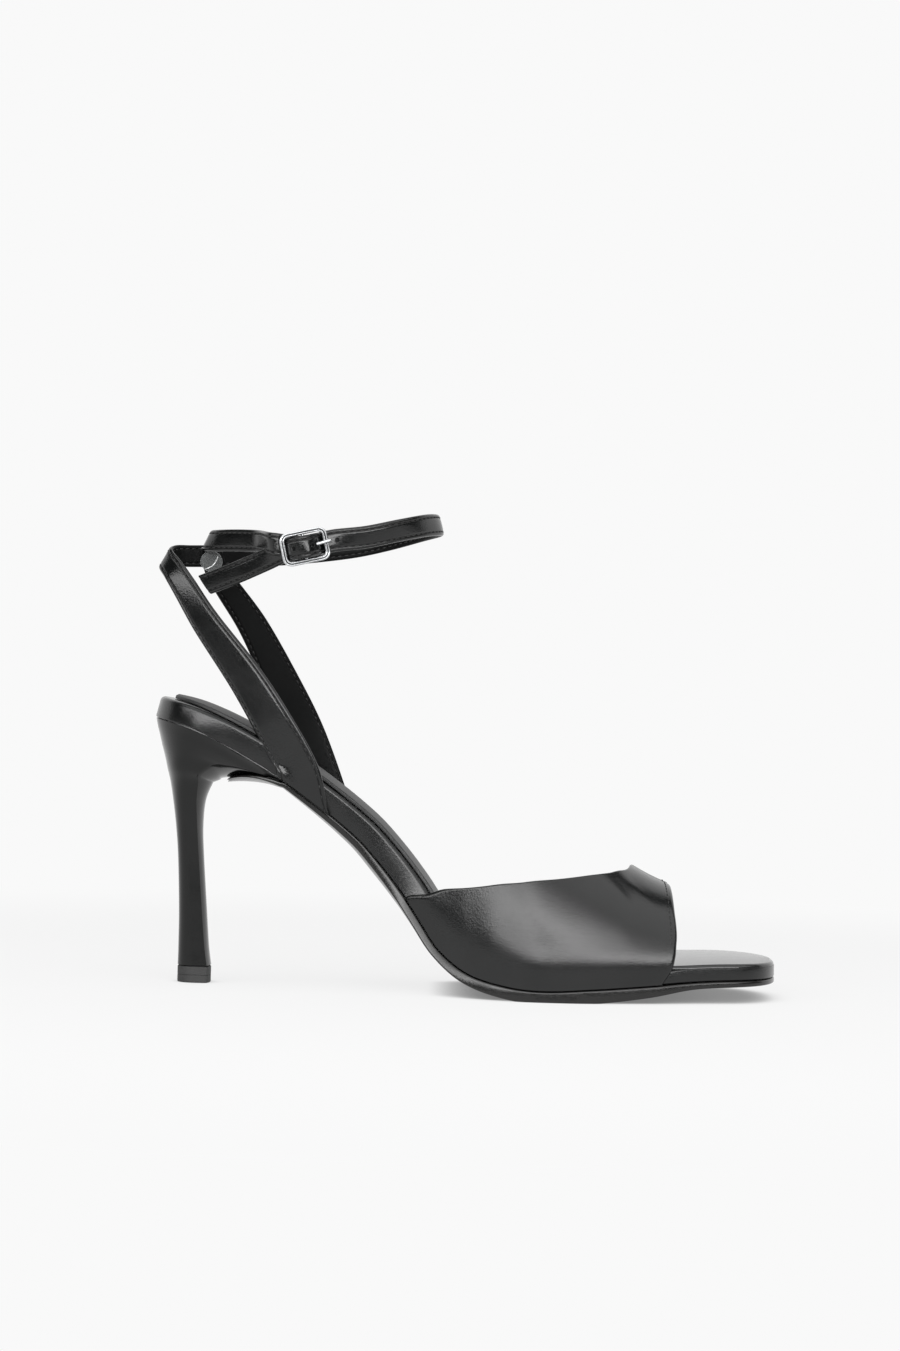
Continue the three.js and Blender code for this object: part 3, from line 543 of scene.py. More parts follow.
# Loops of the heel: round rear, straight sides, a breast that bulges by a parabola.
def heelLoops(rows, count):
    index = np.arange(len(rows["half"]))
    fine = np.linspace(0, index[-1], count)

    def readColumn(values):
        return column({"row": index, "value": values}, "row", "value", fine)

    def read(name):
        values = rows[name]
        return readColumn(values) if values.ndim == 1 else np.stack([readColumn(v) for v in values.T], -1)

    rear, front, square = read("rear"), read("front"), read("square")
    half, belly = read("half")[:, None], read("belly")[:, None]
    seat = np.clip(read("seat"), 0, 1)[:, None]
    roundShare = 0.55
    turn = np.linspace(0, pi / 2, 14)[1:]
    straight = np.linspace(0, 1, 9)[1:]
    along = np.concatenate([roundShare * (1 - np.cos(turn)), roundShare + (1 - roundShare) * straight])
    spread = np.concatenate([np.sin(turn), 1 + 0 * straight])
    firstAt, lastAt = 0.5 / soleLine["length"], heelLook["reach"] / soleLine["length"]
    at = firstAt + (lastAt - firstAt) * along
    under = -soleLine["fit"]
    share = along[:, None]
    chord = place(np.array(firstAt), 0, under) * (1 - share) + place(np.array(lastAt), 0, under) * share
    seatBend = place(at, 0, under) - chord
    sides = []
    for name, sign in (("lateral", -1), ("medial", 1)):
        seatSpread = halfWidth(name, at, soleLine["fit"] / 2) / rows["seatHalf"]
        share = spread * (1 - seat) + seatSpread * seat
        points = rear[:, None] * (1 - along[:, None]) + front[:, None] * along[:, None]
        points = points + seatBend * seat[:, :, None]
        points[:, :, 1] = sign * half * share
        sides.append(points)
    lateral, medial = sides
    across = np.linspace(-1, 1, 22)[1:-1]
    mix = ((across + 1) / 2)[None, :, None]
    breast = lateral[:, -1:] * (1 - mix) + medial[:, -1:] * mix
    breast = breast + square[:, None] * (belly * (1 - across ** 2))[:, :, None]
    return np.concatenate([rear[:, None], lateral, breast, medial[:, ::-1]], axis=1)


def makeHeel():
    look = heelLook
    points = heelLoops(heelRows(), look["rows"])
    shader = Maker("heelLacquer")
    cloud = shader.noise(look["cloudSize"], 3.0)
    grain = shader.noise(look["grainSize"], 3.0)
    colour = shader.blend(cloud.smooth(0.3, 0.7), look["colour"], look["light"])
    roughness = look["roughness"] + (cloud - 0.5) * 0.14
    normal = shader.bump(grain, look["grainDepth"], shader.bump(cloud, look["cloudDepth"]))
    material = shader.finish(Base_Color=colour, Roughness=roughness, Normal=normal, IOR=look["ior"])
    addPiece("lacquered_heel", points, material, "heel", ["heel"], caps=True, sharp=38)


def makeHeelTip():
    look = heelLook
    chamfer, shadedSeamGroove, liftHeight = look["tipChamfer"], look["tipSeam"], look["liftHeight"]

    def tip(height, inset):
        shrink = 1 - inset / (look["tipWidth"] / 2)
        return {
            "rear": stack(-look["stemDepth"] * tipShares["rear"] + inset, 0, height),
            "front": stack(look["stemDepth"] * tipShares["front"] - inset, 0, height),
            "square": stack(1, 0, 0),
            "half": np.array(look["tipWidth"] / 2 * shrink),
            "belly": np.array(look["belly"] * tipShares["belly"]),
            "seat": np.array(0.0),
        }

    def stackUp(name, levels, material, nodes):
        sections = [tip(height, inset) for height, inset in levels]
        joined = {key: np.array([section[key] for section in sections]) for key in sections[0]}
        joined["seatHalf"] = look["tipWidth"] / 2
        addPiece(name, heelLoops(joined, len(levels)), material, "heel_tip", nodes, caps=True, sharp=30)

    shader = Maker("tipRubber")
    speck = shader.noise(0.8, 3.0)
    colour = shader.blend(speck, look["rubber"], look["rubberLight"])
    rubber = shader.finish(Base_Color=colour, Roughness=0.6 + speck * 0.15, Normal=shader.bump(speck, 0.03))
    top = look["tipHeight"]
    cap = [(top, chamfer), (top - chamfer, 0), (liftHeight + shadedSeamGroove, 0), (liftHeight, shadedSeamGroove)]
    lift = [(liftHeight, shadedSeamGroove), (liftHeight - shadedSeamGroove, 0), (chamfer, 0), (0, chamfer)]
    stackUp("heel_tip_cap", cap, rubber, ["heel_tip"])
    stackUp("heel_top_lift", lift, rubber, [])


outsoleLook = {
    "thickness": 3.3,
    "edge": 0.5,
    "stations": 170,
    "colour": (0.0040, 0.0039, 0.0037, 1),
    "light": (0.0060, 0.0057, 0.0054, 1),
    "roughness": 0.20,
    "tonguePower": 2.4,
    "cloudSize": 9.0,
    "fibreSize": 0.7,
}


def makeOutsole():
    look, line = outsoleLook, soleLine
    start = heelLook["tongueStart"] / line["length"]
    tongueLength = heelLook["reach"] - heelLook["tongueStart"] + line["seatRound"] / 6

    def tongue(at, inset=0.0):
        return endRound(line["length"] * (at - start) - inset, tongueLength, look["tonguePower"])

    def outline(name, at, inset):
        ledge = line["vampWall"] * sole("ledge", at) * endRound(line["length"] * (1 - at), 6, 2)
        return (halfWidth(name, at, inset) + ledge) * tongue(at, inset)

    def top(at, share):
        depth = blockDepth(at, share * tongue(at))
        return -line["fit"] - depth - np.where(depth > 0, line["fit"], 0.0)

    def bottom(at, share):
        leather = sole("leather", at) + sole("round", at) * (1 - share ** 4)
        return top(at, share) - look["thickness"] * leather

    rings = slabRings(bottom, top, fixed(look["edge"]), fixed(look["edge"]), soleShares)
    points = layerPoints(rings, start, 1.0, look["stations"], outline)
    points[..., 2] = np.maximum(points[..., 2], 0.0)  # pressed flat where it stands on the floor
    shader = Maker("soleLeather")
    cloud = shader.noise(look["cloudSize"], 4.0)
    fibre = shader.noise(look["fibreSize"], 3.0)
    colour = shader.blend(cloud.smooth(0.3, 0.7), look["colour"], look["light"])
    roughness = look["roughness"] + (fibre - 0.5) * 0.2
    material = shader.finish(Base_Color=colour, Roughness=roughness, Normal=shader.bump(fibre, 0.02))
    addPiece("leather_outsole", points, material, "outsole", ["outsole"])


vampLook = {
    "height": 38.2,
    "peak": 162.8,
    "front": 175.5,
    "fullness": 2.3,
    "pleatDepth": 1.5,
    "pleatWidth": 3.4,
    "bulge": 0.50,
    "bulgeAt": 8.0,
    "bulgeRise": 5.0,
    "bulgeFade": (0.52, 0.62),
    "bulgeSpread": 0.7,
    "tuck": 0.45,
    "foldRound": 5,
    "stitchInset": 2.0,
    "middle": (150, 0, 10),
    "rows": 90,
    "arounds": 170,
}
lastRows = {
    "at": [0.42, 0.51, 0.60, 0.68, 0.74, 0.77, 0.83, 0.90],
    "height": [1.88, 2.02, 1.72, 1.38, 1.135, 1.00, 0.817, 0.70],
}
vampRows = {
    "around": [0.000, 0.033, 0.077, 0.121, 0.154, 0.200, 0.252, 0.302, 0.380, 0.500,
               0.620, 0.700, 0.750, 0.800, 0.846, 0.880, 0.923, 0.967, 1.000],
    "throat": [0.530, 0.566, 0.611, 0.700, 0.762, 0.841, 0.905, 0.947, 0.982, 0.995,
               1.001, 0.976, 0.946, 0.896, 0.822, 0.750, 0.648, 0.580, 0.540],
    "front": [0.980, 0.996, 1.003, 1.005, 1.006, 1.005, 1.003, 1.002, 1.001, 1.000,
              1.001, 1.002, 1.003, 1.005, 1.006, 1.005, 1.003, 0.996, 0.980],
}


# Point of the last over the toes, grown by a margin: a superellipse across, from the lateral feather line (0)
# over the top (0.5) to the medial one (1), with a soft pleat along the top.
def lastPoint(at, around, margin):
    look, fit = vampLook, soleLine["fit"]
    angle = pi * around
    power = 2 / look["fullness"]
    base = place(at, 0.0, fit / 2)
    half = np.where(around < 0.5, halfWidth("lateral", at), halfWidth("medial", at)) + 1.5 * fit + margin
    height = look["height"] * column(lastRows, "at", "height", at) - soleLine["vampWall"] + margin
    side = -np.sign(np.cos(angle)) * np.abs(np.cos(angle)) ** power * half
    lift = np.sin(angle).clip(0) ** power * height
    pleat = look["pleatDepth"] * np.exp(-((side / look["pleatWidth"]) ** 2))
    pleat = pleat * ((around > 0.2) & (around < 0.8))
    return stack(base[..., 0], side, base[..., 2] + lift - pleat)


# Vamp's edges at a place around it, as places along the sole line.
def vampEdges(around):
    throat = vampLook["peak"] * column(vampRows, "around", "throat", around) / soleLine["length"]
    front = vampLook["front"] * column(vampRows, "around", "front", around) / soleLine["length"]
    return throat, front


# Soft bulges and hollows of the vamp, a column each: place along the foot and around the last, the form's
# length and width, its turn in degrees from the foot's direction, and its height, below 0 for a hollow.
creases = {
    "at": [0.598, 0.546, 0.640, 0.760, 0.744, 0.768, 0.700, 0.675],
    "around": [0.120, 0.070, 0.115, 0.115, 0.275, 0.300, 0.205, 0.075],
    "length": [9.5, 12.0, 13.0, 9.0, 8.0, 8.0, 16.0, 15.0],
    "width": [3.0, 4.5, 5.0, 4.5, 1.8, 2.0, 7.0, 5.0],
    "turn": [-58, -12, -35, -72, -42, -38, -25, -12],
    "height": [-0.20, 0.06, 0.08, 0.12, -0.14, 0.12, -0.06, 0.05],
}
aroundLength = 115.0


def creaseHeight(at, around):
    height = 0.0 * at
    for k in range(len(creases["at"])):
        row = {name: values[k] for name, values in creases.items()}
        x = (at - row["at"]) * soleLine["length"]
        y = (around - row["around"]) * aroundLength
        turn = radians(row["turn"])
        u, v = x * np.cos(turn) + y * np.sin(turn), y * np.cos(turn) - x * np.sin(turn)
        height = height + row["height"] * np.exp(-(u / row["length"]) ** 2 - (v / row["width"]) ** 2)
    return height * fade(around, 0.01, 0.09) * fade(1 - around, 0.01, 0.09)


def makeVamp():
    look, wall = vampLook, soleLine["vampWall"]
    around = crowded(look["arounds"])[None, :]
    throat, front = vampEdges(around)
    # a loop in the wall's section: outer face, fold at the front, inner face, fold at the throat
    radius = wall / 2
    turn = np.linspace(-pi / 2, pi / 2, look["foldRound"] + 2)[1:-1]
    steps = crowded(look["rows"], 0.5)
    flat = 0 * steps
    share = np.concatenate([steps, 1 + 0 * turn, steps[::-1], 0 * turn])[:, None]
    slide = np.concatenate([flat, radius * np.cos(turn), flat, -radius * np.cos(turn)])[:, None]
    bend = radius * np.sin(turn)
    margin = np.concatenate([flat + wall, radius - bend, flat, radius + bend])
    trim = radius / soleLine["length"]
    at = throat + trim + (front - throat - 2 * trim) * share + slide / soleLine["length"]
    around = around + 0 * at
    points = lastPoint(at, around, margin[:, None] + creaseHeight(at, around))
    # the leather tucks in at the feather line and bulges a little above it
    climb = points[..., 2] - place(at, 0.0, soleLine["fit"] / 2)[..., 2]
    bulgeAt = look["bulgeAt"] + look["bulgeRise"] * (1 - fade(at, *look["bulgeFade"]))
    tuck = look["tuck"] * (1 - np.clip(climb / bulgeAt, 0, 1)) ** 2
    bulge = look["bulge"] * np.exp(-((climb / bulgeAt - 1) / look["bulgeSpread"]) ** 2)
    points[..., 1] += np.sign(points[..., 1]) * (bulge - tuck) * (margin / wall)[:, None]
    points = points.transpose(1, 0, 2)  # rings across the wall, one for each place around
    addPiece("vamp_band", points, smoothLeather("vampLeather"), "upper", ["vamp"], caps=True, sharp=50)


strapLook = {
    "ankleBack": 12.8,
    "ankleLength": 93.1,
    "ankleWidth": 60.0,
    "ankleHeight": 143.5,
    "ankleRise": 14.0,
    "width": 7.5,
    "baseWidth": 14.0,
    "thickness": 1.7,
    "endThickness": 0.9,
    "footSlope": -1.3,
    "tailSlope": 0.42,
    "buckleLean": -13.0,
    "tailLean": -18.0,
    "tailSwing": 11.0,
    "lining": (0.0026, 0.0028, 0.0028, 1),
    "liningGloss": 0.10,
    "liningRoughness": 0.42,
    # near-black painted shade for the seam grooves and the punched holes
    "pit": (0.0005, 0.0005, 0.0005, 1),
    "hazeSize": 9.0,
    "swellSize": 5.0,
    "swellDepth": 0.025,
    "stitchFrom": 4.0,
    "stitchInset": 1.3,
    "stitchPitch": 2.35,
    "stitchLength": 1.6,
    "stitchWidth": 0.5,
    "thread": (0.006, 0.006, 0.006, 1),
    "grooveDepth": 0.22,
    "grooveWidth": 0.32,
    "crown": 0.14,
    "steps": 14,
}
lateralLeg = {
    "climb": [0.000, 0.113, 0.308, 0.483, 0.733, 0.868, 0.945],
    "forward": [0.538, 0.510, 0.417, 0.320, 0.158, 0.082, 0.036],
    "spread": [1.035, 1.082, 1.080, 0.930, 0.640, 0.465, 0.300],
    "lean": [74, 71, 61, 55, 53, 50, 42],
    "swing": [0, -9, -17, -20, -20, -13, -5],
    "width": [1.00, 1.00, 0.98, 0.91, 0.735, 0.63, 0.57],
}
medialLeg = {
    "climb": [0.000, 0.107, 0.300, 0.480, 0.735, 0.877, 0.945],
    "forward": [0.612, 0.579, 0.511, 0.434, 0.315, 0.227, 0.184],
    "spread": [1.045, 1.088, 1.050, 0.885, 0.610, 0.413, 0.306],
    "lean": [75, 72, 62, 56, 54, 51, 44],
    "swing": [-8, -2, 5, 8, 8, 8, 6],
    "width": [1.00, 1.00, 0.98, 0.91, 0.735, 0.63, 0.57],
}
loopRows = {
    "forward": [0.004, 0.030, 0.088, 0.180, 0.300, 0.475, 0.673,
                0.795, 0.930, 0.994, 0.952, 0.850, 0.735],
    "side": [-0.020, 0.165, 0.265, 0.330, 0.570, 0.860, 0.950,
             0.850, 0.500, -0.030, -0.420, -0.790, -0.945],
    "lift": [-0.07, 0.05, -0.03, -0.16, -0.31, -0.41, -0.42,
             -0.31, -0.12, -0.08, -0.08, -0.22, -0.36],
    "lean": [30, 14, 4, 0, 0, 0, 0, 0, -9, -15, -14, -8, -4],
    "swing": [0, 0, 0, 0, 0, 0, 0, 0, 0, 0, -12, -14, -10],
}
buckleRows = {
    "along": [1.45, 0.85, 0.50, 0.00, -0.50, -0.84],
    "out": [-1.0, -1.0, 0.25, 1.0, 0.25, -1.03],
}
tailRows = {
    "forward": [0.385, 0.280, 0.158],
    "side": [-0.890, -0.700, -0.460],
    "lift": [-0.80, -1.17, -1.52],
}
nearRows = {
    "forward": [0.156, 0.157, 0.189, 0.262, 0.345],
    "side": [0.110, -0.030, -0.190, -0.390, -0.630],
    "lift": [0.41, 0.50, 0.44, 0.31, 0.11],
    "lean": [34, 22, 8, 0, 0],
}
buckleLook = {
    "wire": 1.4,
    "face": 1.5,
    "length": 14.6,
    "height": 9.7,
    "corner": 2.2,
    "tilt": 13.5,
    "turn": 14.0,
    "depth": 2.1,
    "groove": 0.26,
    "colour": (0.60, 0.61, 0.62, 1),
    # painted shade in the frame's hollow between its ridges
    "hollow": (0.03, 0.03, 0.03, 1),
    "roughness": 0.26,
    "prongWire": 1.0,
    "prongReach": 9.0,
    "forward": 0.5215,
    "side": -1.1,
    "lift": -0.48,
}
holeLook = {"pitch": 5.9, "radius": 0.75, "ahead": 2, "behind": 2}


def anklePoint(forward, side, lift):
    look = strapLook
    forward, side, lift = (np.array(value, float) for value in (forward, side, lift))
    return stack(look["ankleLength"] * forward - look["ankleBack"], look["ankleWidth"] / 2 * side,
                 look["ankleHeight"] + look["ankleRise"] * forward + look["width"] * lift)


# Frame of the buckle: x along the strap, y across it and z away from the foot.
buckleTurn = np.array(Matrix.Rotation(radians(buckleLook["turn"]), 3, "Z") @ Matrix.Rotation(pi / 2, 3, "X")
                      @ Matrix.Rotation(radians(buckleLook["tilt"]), 3, "Z"))
buckleMiddle = anklePoint(buckleLook["forward"], buckleLook["side"], buckleLook["lift"])


def bucklePoint(along, up, out):
    return stack(along, up, out) @ buckleTurn.T + buckleMiddle


# Rows of a strap: points of its middle line, lean and swing of its width, width and thickness.
def strapPart(points, lean, swing, width, thickness=None):
    count = len(points)
    thickness = strapLook["thickness"] if thickness is None else thickness
    columns = [np.broadcast_to(np.array(value, float), count) for value in (lean, swing, width, thickness)]
    return np.column_stack([points, *columns])


def legPart(rows, name):
    look, line = strapLook, soleLine
    forward = look["ankleLength"] * np.array(rows["forward"]) - look["ankleBack"]
    footAt = (forward[0] + line["seatBack"]) / line["length"]
    reach = halfWidth(name, footAt) + line["fit"] + look["thickness"] / 2
    footHeight = place(footAt, 0, 0)[2]
    sign = -1 if name == "lateral" else 1
    points = stack(forward, sign * reach * np.array(rows["spread"]),
                   footHeight + (look["ankleHeight"] - footHeight) * np.array(rows["climb"]))
    return strapPart(points, rows["lean"], rows["swing"], look["baseWidth"] * np.array(rows["width"]))


# How far the strap's middle lies from the buckle's middle plane: behind the frame, and over bar and prong.
behindFrame = buckleLook["wire"] / 2 + soleLine["fit"] + strapLook["thickness"] / 2
overBar = behindFrame + soleLine["fit"] + buckleLook["prongWire"]


def lateralStrapRows():
    look = strapLook
    loop = anklePoint(loopRows["forward"], loopRows["side"], loopRows["lift"])
    out = np.where(np.array(buckleRows["out"]) < 0, behindFrame, overBar) * buckleRows["out"]
    atBuckle = bucklePoint(np.array(buckleRows["along"]) * buckleLook["length"] / 2, 0, out)
    tail = anklePoint(tailRows["forward"], tailRows["side"], tailRows["lift"])
    return np.concatenate([
        legPart(lateralLeg, "lateral"),
        strapPart(loop, loopRows["lean"], loopRows["swing"], look["width"]),
        strapPart(atBuckle, look["buckleLean"], 0, look["width"]),
        strapPart(tail, look["tailLean"], look["tailSwing"], look["width"]),
    ])


def medialStrapRows():
    look = strapLook
    near = anklePoint(nearRows["forward"], nearRows["side"], nearRows["lift"])
    ring = buckleLook["wire"] / 2 + soleLine["fit"] + look["endThickness"] / 2
    behind = -(behindFrame + look["thickness"] + soleLine["fit"])
    ends = bucklePoint(np.array([-0.62, -0.30]) * buckleLook["length"],
                       np.array([0.38, 0.16]) * look["width"], behind * np.array([1, 0.86]))
    turns = np.radians([-100, -60, -20, 20, 60, 95])
    wrap = bucklePoint(ring * np.cos(turns), 0, ring * np.sin(turns))
    return np.concatenate([
        legPart(medialLeg, "medial"),
        strapPart(near, nearRows["lean"], 0, look["width"]),
        strapPart(ends, look["buckleLean"], 0, look["width"], [look["thickness"], 1.3]),
        strapPart(wrap, look["buckleLean"], 0, look["width"], look["endThickness"]),
    ])


# Centripetal Catmull-Rom curve through points, read at shares of its rows.
def curvePoints(points, share):
    ends = np.vstack([2 * points[0] - points[1], points, 2 * points[-1] - points[-2]])
    spans = len(points) - 1
    i = np.clip(np.floor(share * spans).astype(int), 0, spans - 1)
    w = (share * spans - i)[:, None]
    a, b, c, d = ends[i], ends[i + 1], ends[i + 2], ends[i + 3]
    first, middle, last = (np.sqrt(np.linalg.norm(q - p, axis=1, keepdims=True))
                           for p, q in ((a, b), (b, c), (c, d)))
    slopeB = ((b - a) / first - (c - a) / (first + middle) + (c - b) / middle) * middle
    slopeC = ((c - b) / middle - (d - b) / (middle + last) + (d - c) / last) * middle
    bend = -3 * b + 3 * c - 2 * slopeB - slopeC
    return b + slopeB * w + bend * w ** 2 + (2 * b - 2 * c + slopeB + slopeC) * w ** 3


def unit(vectors):
    return vectors / np.linalg.norm(vectors, axis=-1, keepdims=True)


# Length along a path up to each of its points.
def lengthAlong(path):
    return np.concatenate([[0], np.cumsum(np.linalg.norm(np.diff(path, axis=0), axis=1))])


# Frames along a strap: middle line, its direction, width direction, outward direction, sizes and cut slope.
def strapFrames(rows, outward, startSlope, endSlope):
    spans = len(rows) - 1
    share = np.linspace(0, 1, spans * strapLook["steps"] + 1)
    middle = curvePoints(rows[:, :3], share)
    step = 1e-4
    after = curvePoints(rows[:, :3], np.clip(share + step, 0, 1))
    ahead = unit(after - curvePoints(rows[:, :3], np.clip(share - step, 0, 1)))
    index = {"row": np.arange(spans + 1)}
    lean, swing, width, thickness = (
        column(index | {"value": rows[:, k]}, "row", "value", share * spans) for k in range(3, 7))
    lean, swing = np.radians(lean), np.radians(swing)
    across = stack(np.sin(lean) * np.cos(swing), np.sin(swing), np.cos(lean))
    across = unit(across - ahead * np.sum(across * ahead, axis=1, keepdims=True))
    out = np.cross(ahead, across) * outward
    row = share * spans
    slide = startSlope * np.maximum(0, 1 - row / 2) + endSlope * np.maximum(0, 1 - (spans - row) / 2)
    return {"middle": middle, "ahead": ahead, "across": across, "out": out, "width": width,
            "thickness": thickness, "slide": slide, "length": lengthAlong(middle)}


# Band of leather with folded round edges, slightly domed faces and a groove under each row of stitches.
def strapPoints(frames):
    look = strapLook
    half = frames["width"][:, None] / 2
    thick = frames["thickness"][:, None] / 2
    flat = np.array([-1, -0.93, -0.86, -0.80, -0.74, -0.68, -0.62, -0.5, -0.3, -0.1,
                     0.1, 0.3, 0.5, 0.62, 0.68, 0.74, 0.80, 0.86, 0.93, 1])[None, :]
    turn = np.linspace(-pi / 2, pi / 2, 8)[None, 1:-1]
    inner = half - thick
    v = inner * flat
    away = (half - np.abs(v) - look["stitchInset"]) / look["grooveWidth"]
    groove = look["grooveDepth"] * np.exp(-away ** 2)
    dome = look["crown"] * (1 - (v / half) ** 2) - groove
    outer = (v, thick + dome)
    rightEdge = (inner + thick * np.cos(turn), thick * -np.sin(turn))
    leftEdge = (-inner - thick * np.cos(turn), thick * np.sin(turn))
    innerFace = (v[:, ::-1], -(thick + dome[:, ::-1]))
    sides = np.concatenate([outer[0], rightEdge[0], innerFace[0], leftEdge[0]], axis=1)
    heights = np.concatenate([outer[1], rightEdge[1], innerFace[1], leftEdge[1]], axis=1)
    slide = frames["slide"][:, None] * sides
    points = (frames["middle"][:, None] + frames["across"][:, None] * sides[..., None]
              + frames["ahead"][:, None] * slide[..., None] + frames["out"][:, None] * heights[..., None])
    along = frames["length"][:, None] + slide
    return points, stack(along, half - np.abs(sides), heights)


# Thread: a short capsule on each place, half sunk in its groove, all of them one mesh.
def addStitches(name, middles, aheads, outs, material):
    look = strapLook
    ring = np.linspace(0, 2 * pi, 7)[:-1]
    belt = np.linspace(-pi / 2, pi / 2, 6)
    x = np.sin(belt)[:, None] * look["stitchLength"] / 2 + 0 * ring
    y = np.cos(belt)[:, None] * np.cos(ring) * look["stitchWidth"] / 2
    z = np.cos(belt)[:, None] * np.sin(ring) * look["stitchWidth"] / 2
    sides = np.cross(outs, aheads)
    points = (middles[:, None, None] + aheads[:, None, None] * x[..., None]
              + sides[:, None, None] * y[..., None] + outs[:, None, None] * z[..., None])
    count, rows, columns = points.shape[:3]
    one = np.array(ringFaces(rows, columns))
    faces = (one[None] + (np.arange(count) * rows * columns)[:, None, None]).reshape(-1, 4).tolist()
    addPiece(name, points, material, "upper", faces=faces, sharp=80)


def spacedStitches(frames, sideSign, faceSign, start, stop):
    look = strapLook
    places = np.arange(start, stop, look["stitchPitch"])
    half = np.interp(places, frames["length"], frames["width"]) / 2
    thick = np.interp(places, frames["length"], frames["thickness"]) / 2

    def read(name):
        return np.stack([np.interp(places, frames["length"], frames[name][:, k]) for k in range(3)], -1)

    side = sideSign * (half - look["stitchInset"])
    height = faceSign * (thick - look["grooveDepth"] * 0.35)
    middles = read("middle") + unit(read("across")) * side[:, None] + unit(read("out")) * height[:, None]
    slide = np.interp(places, frames["length"], frames["slide"]) * side
    aheads = unit(np.gradient(middles, axis=0))
    middles = middles + unit(read("ahead")) * slide[:, None]
    return middles, aheads, unit(read("out"))


# Strap leather reads the strap's own places in millimetres: along it, in from the nearest edge, and through it.
# The lining, the grooves of the seams and the punched holes show a duller surface.
# The grooves and the holes are also coloured near-black, as painted shade.
def strapLeather(name, firstHole=None):
    look = leatherLook
    shader = Maker(name)
    along, edge, through = shader.places()
    haze, grain, fine, colour = leatherParts(shader, strapLook["hazeSize"])
    lining = 1 - through.smooth(-0.3, 0.1)
    shadedSeamGroove = 1 - abs(edge - strapLook["stitchInset"]).smooth(0.10, 0.42)
    # painted shade: the seam grooves are coloured near-black
    colour = shader.blend(shadedSeamGroove * 0.9, colour, strapLook["pit"])
    height = grain + fine * 0.6
    roughness = look["roughness"] - 0.04 + (haze - 0.5) * 0.10 + shadedSeamGroove * 0.4
    dull = lining + shadedSeamGroove * 0.7
    if firstHole is not None:
        side = edge - strapLook["width"] / 2
        shadedPits = []
        for k in range(holeLook["ahead"] + 1 + holeLook["behind"]):
            away = along - (firstHole + k * holeLook["pitch"])
            radius = (away * away + side * side).root()
            shadedPits.append(1 - radius.smooth(holeLook["radius"] * 0.8, holeLook["radius"] * 1.15))
        pit = sum(shadedPits[1:], shadedPits[0])
        # painted shade: the punched holes are coloured near-black
        colour = shader.blend(pit, colour, strapLook["pit"])
        height = height - pit * 8
        dull = dull + pit
    normal = shader.bump(shader.noise(strapLook["swellSize"]), strapLook["swellDepth"])
    normal = shader.bump(height, look["grainDepth"], normal)
    outside = shader.surface(Base_Color=colour, Roughness=roughness, Normal=normal, IOR=1.5)
    # inside face: its seam grooves carry the same painted shade
    inside = shader.surface(
        Base_Color=shader.blend(shadedSeamGroove * 0.9, strapLook["lining"], strapLook["pit"]),
        Roughness=strapLook["liningRoughness"] + (fine - 0.5) * 0.3,
        Specular_IOR_Level=strapLook["liningGloss"],
        Normal=shader.bump(fine + grain * 0.5, 0.035))
    mixed = shader.node("ShaderNodeMixShader", None, {0: dull, 1: outside, 2: inside})["Shader"]
    return shader.output(mixed)


def makeStraps(thread):
    look = strapLook
    straps = (
        ("lateral_strap", lateralStrapRows(), -1, look["tailSlope"], 1.5),
        ("medial_strap", medialStrapRows(), 1, 0.0, 9.0),
    )
    for name, rows, outward, endSlope, unstitched in straps:
        frames = strapFrames(rows, outward, look["footSlope"], endSlope)
        points, places = strapPoints(frames)
        firstHole = None
        if name == "lateral_strap":
            prongHole = np.argmin(np.linalg.norm(frames["middle"] - bucklePoint(2.0, 0, overBar), axis=1))
            firstHole = frames["length"][prongHole] - holeLook["ahead"] * holeLook["pitch"]
        addPiece(name, points, strapLeather(name + "Leather", firstHole), "upper", ["ankle_straps"],
                 caps=True, places=places, sharp=60, merge=1e-5)
        stop = frames["length"][-1] - unstitched
        lines = [spacedStitches(frames, side, face, look["stitchFrom"], stop)
                 for side in (-1, 1) for face in (-1, 1)]
        middles, aheads, outs = (np.concatenate([line[k] for line in lines]) for k in range(3))
        addStitches(name + "_stitches", middles, aheads, outs, thread)


# One line of stitches along the vamp's front edge.
def makeVampStitches(thread):
    around = np.linspace(0.02, 0.98, 400)
    inset, wall = vampLook["stitchInset"], soleLine["vampWall"]
    trim = inset / soleLine["length"]
    path = lastPoint(vampEdges(around)[1] - trim, around, wall + 0 * around)
    length = lengthAlong(path)
    places = np.arange(inset, length[-1] - inset, strapLook["stitchPitch"])
    seat = np.interp(places, length, around)
    at = vampEdges(seat)[1] - trim
    step = 1e-3
    middles = lastPoint(at, seat, wall + 0 * seat)
    aheads = unit(lastPoint(vampEdges(seat + step)[1] - trim, seat + step, wall + 0 * seat) - middles)
    back = unit(lastPoint(at - step, seat, wall + 0 * seat) - middles)
    outs = unit(np.cross(back, aheads))
    outs = outs * np.sign(np.sum(outs * (middles - vampLook["middle"]), axis=1, keepdims=True))
    addStitches("vamp_stitches", middles, aheads, outs, thread)


# Polished metal. The frame's is coloured dark in the hollow between its two ridges, as painted shade.
def chrome(name, grooved=False):
    look = buckleLook
    shader = Maker(name)
    brushed = shader.noise(2.0, 3.0)
    colour = look["colour"]
    if grooved:
        across, _, height = shader.places()
        # painted shade: the hollow between the ridges is coloured dark
        hollow = (1 - across.smooth(0.06, 0.30)) * height.smooth(0.2, 0.5)
        colour = shader.blend(hollow, colour, look["hollow"])
    return shader.finish(Base_Color=colour, Metallic=1.0, Roughness=look["roughness"] + brushed * 0.06,
                         Normal=shader.bump(brushed, 0.005))


# Round wire along a path: rings square to it.
def wirePoints(path, radius, normal, sides=16):
    side = unit(np.cross(unit(np.gradient(path, axis=0)), normal))
    turn = np.linspace(0, 2 * pi, sides, endpoint=False)
    radius = np.broadcast_to(radius, len(path))[:, None, None]
    return path[:, None] + radius * (side[:, None] * np.cos(turn)[None, :, None]
                                     + normal * np.sin(turn)[None, :, None])


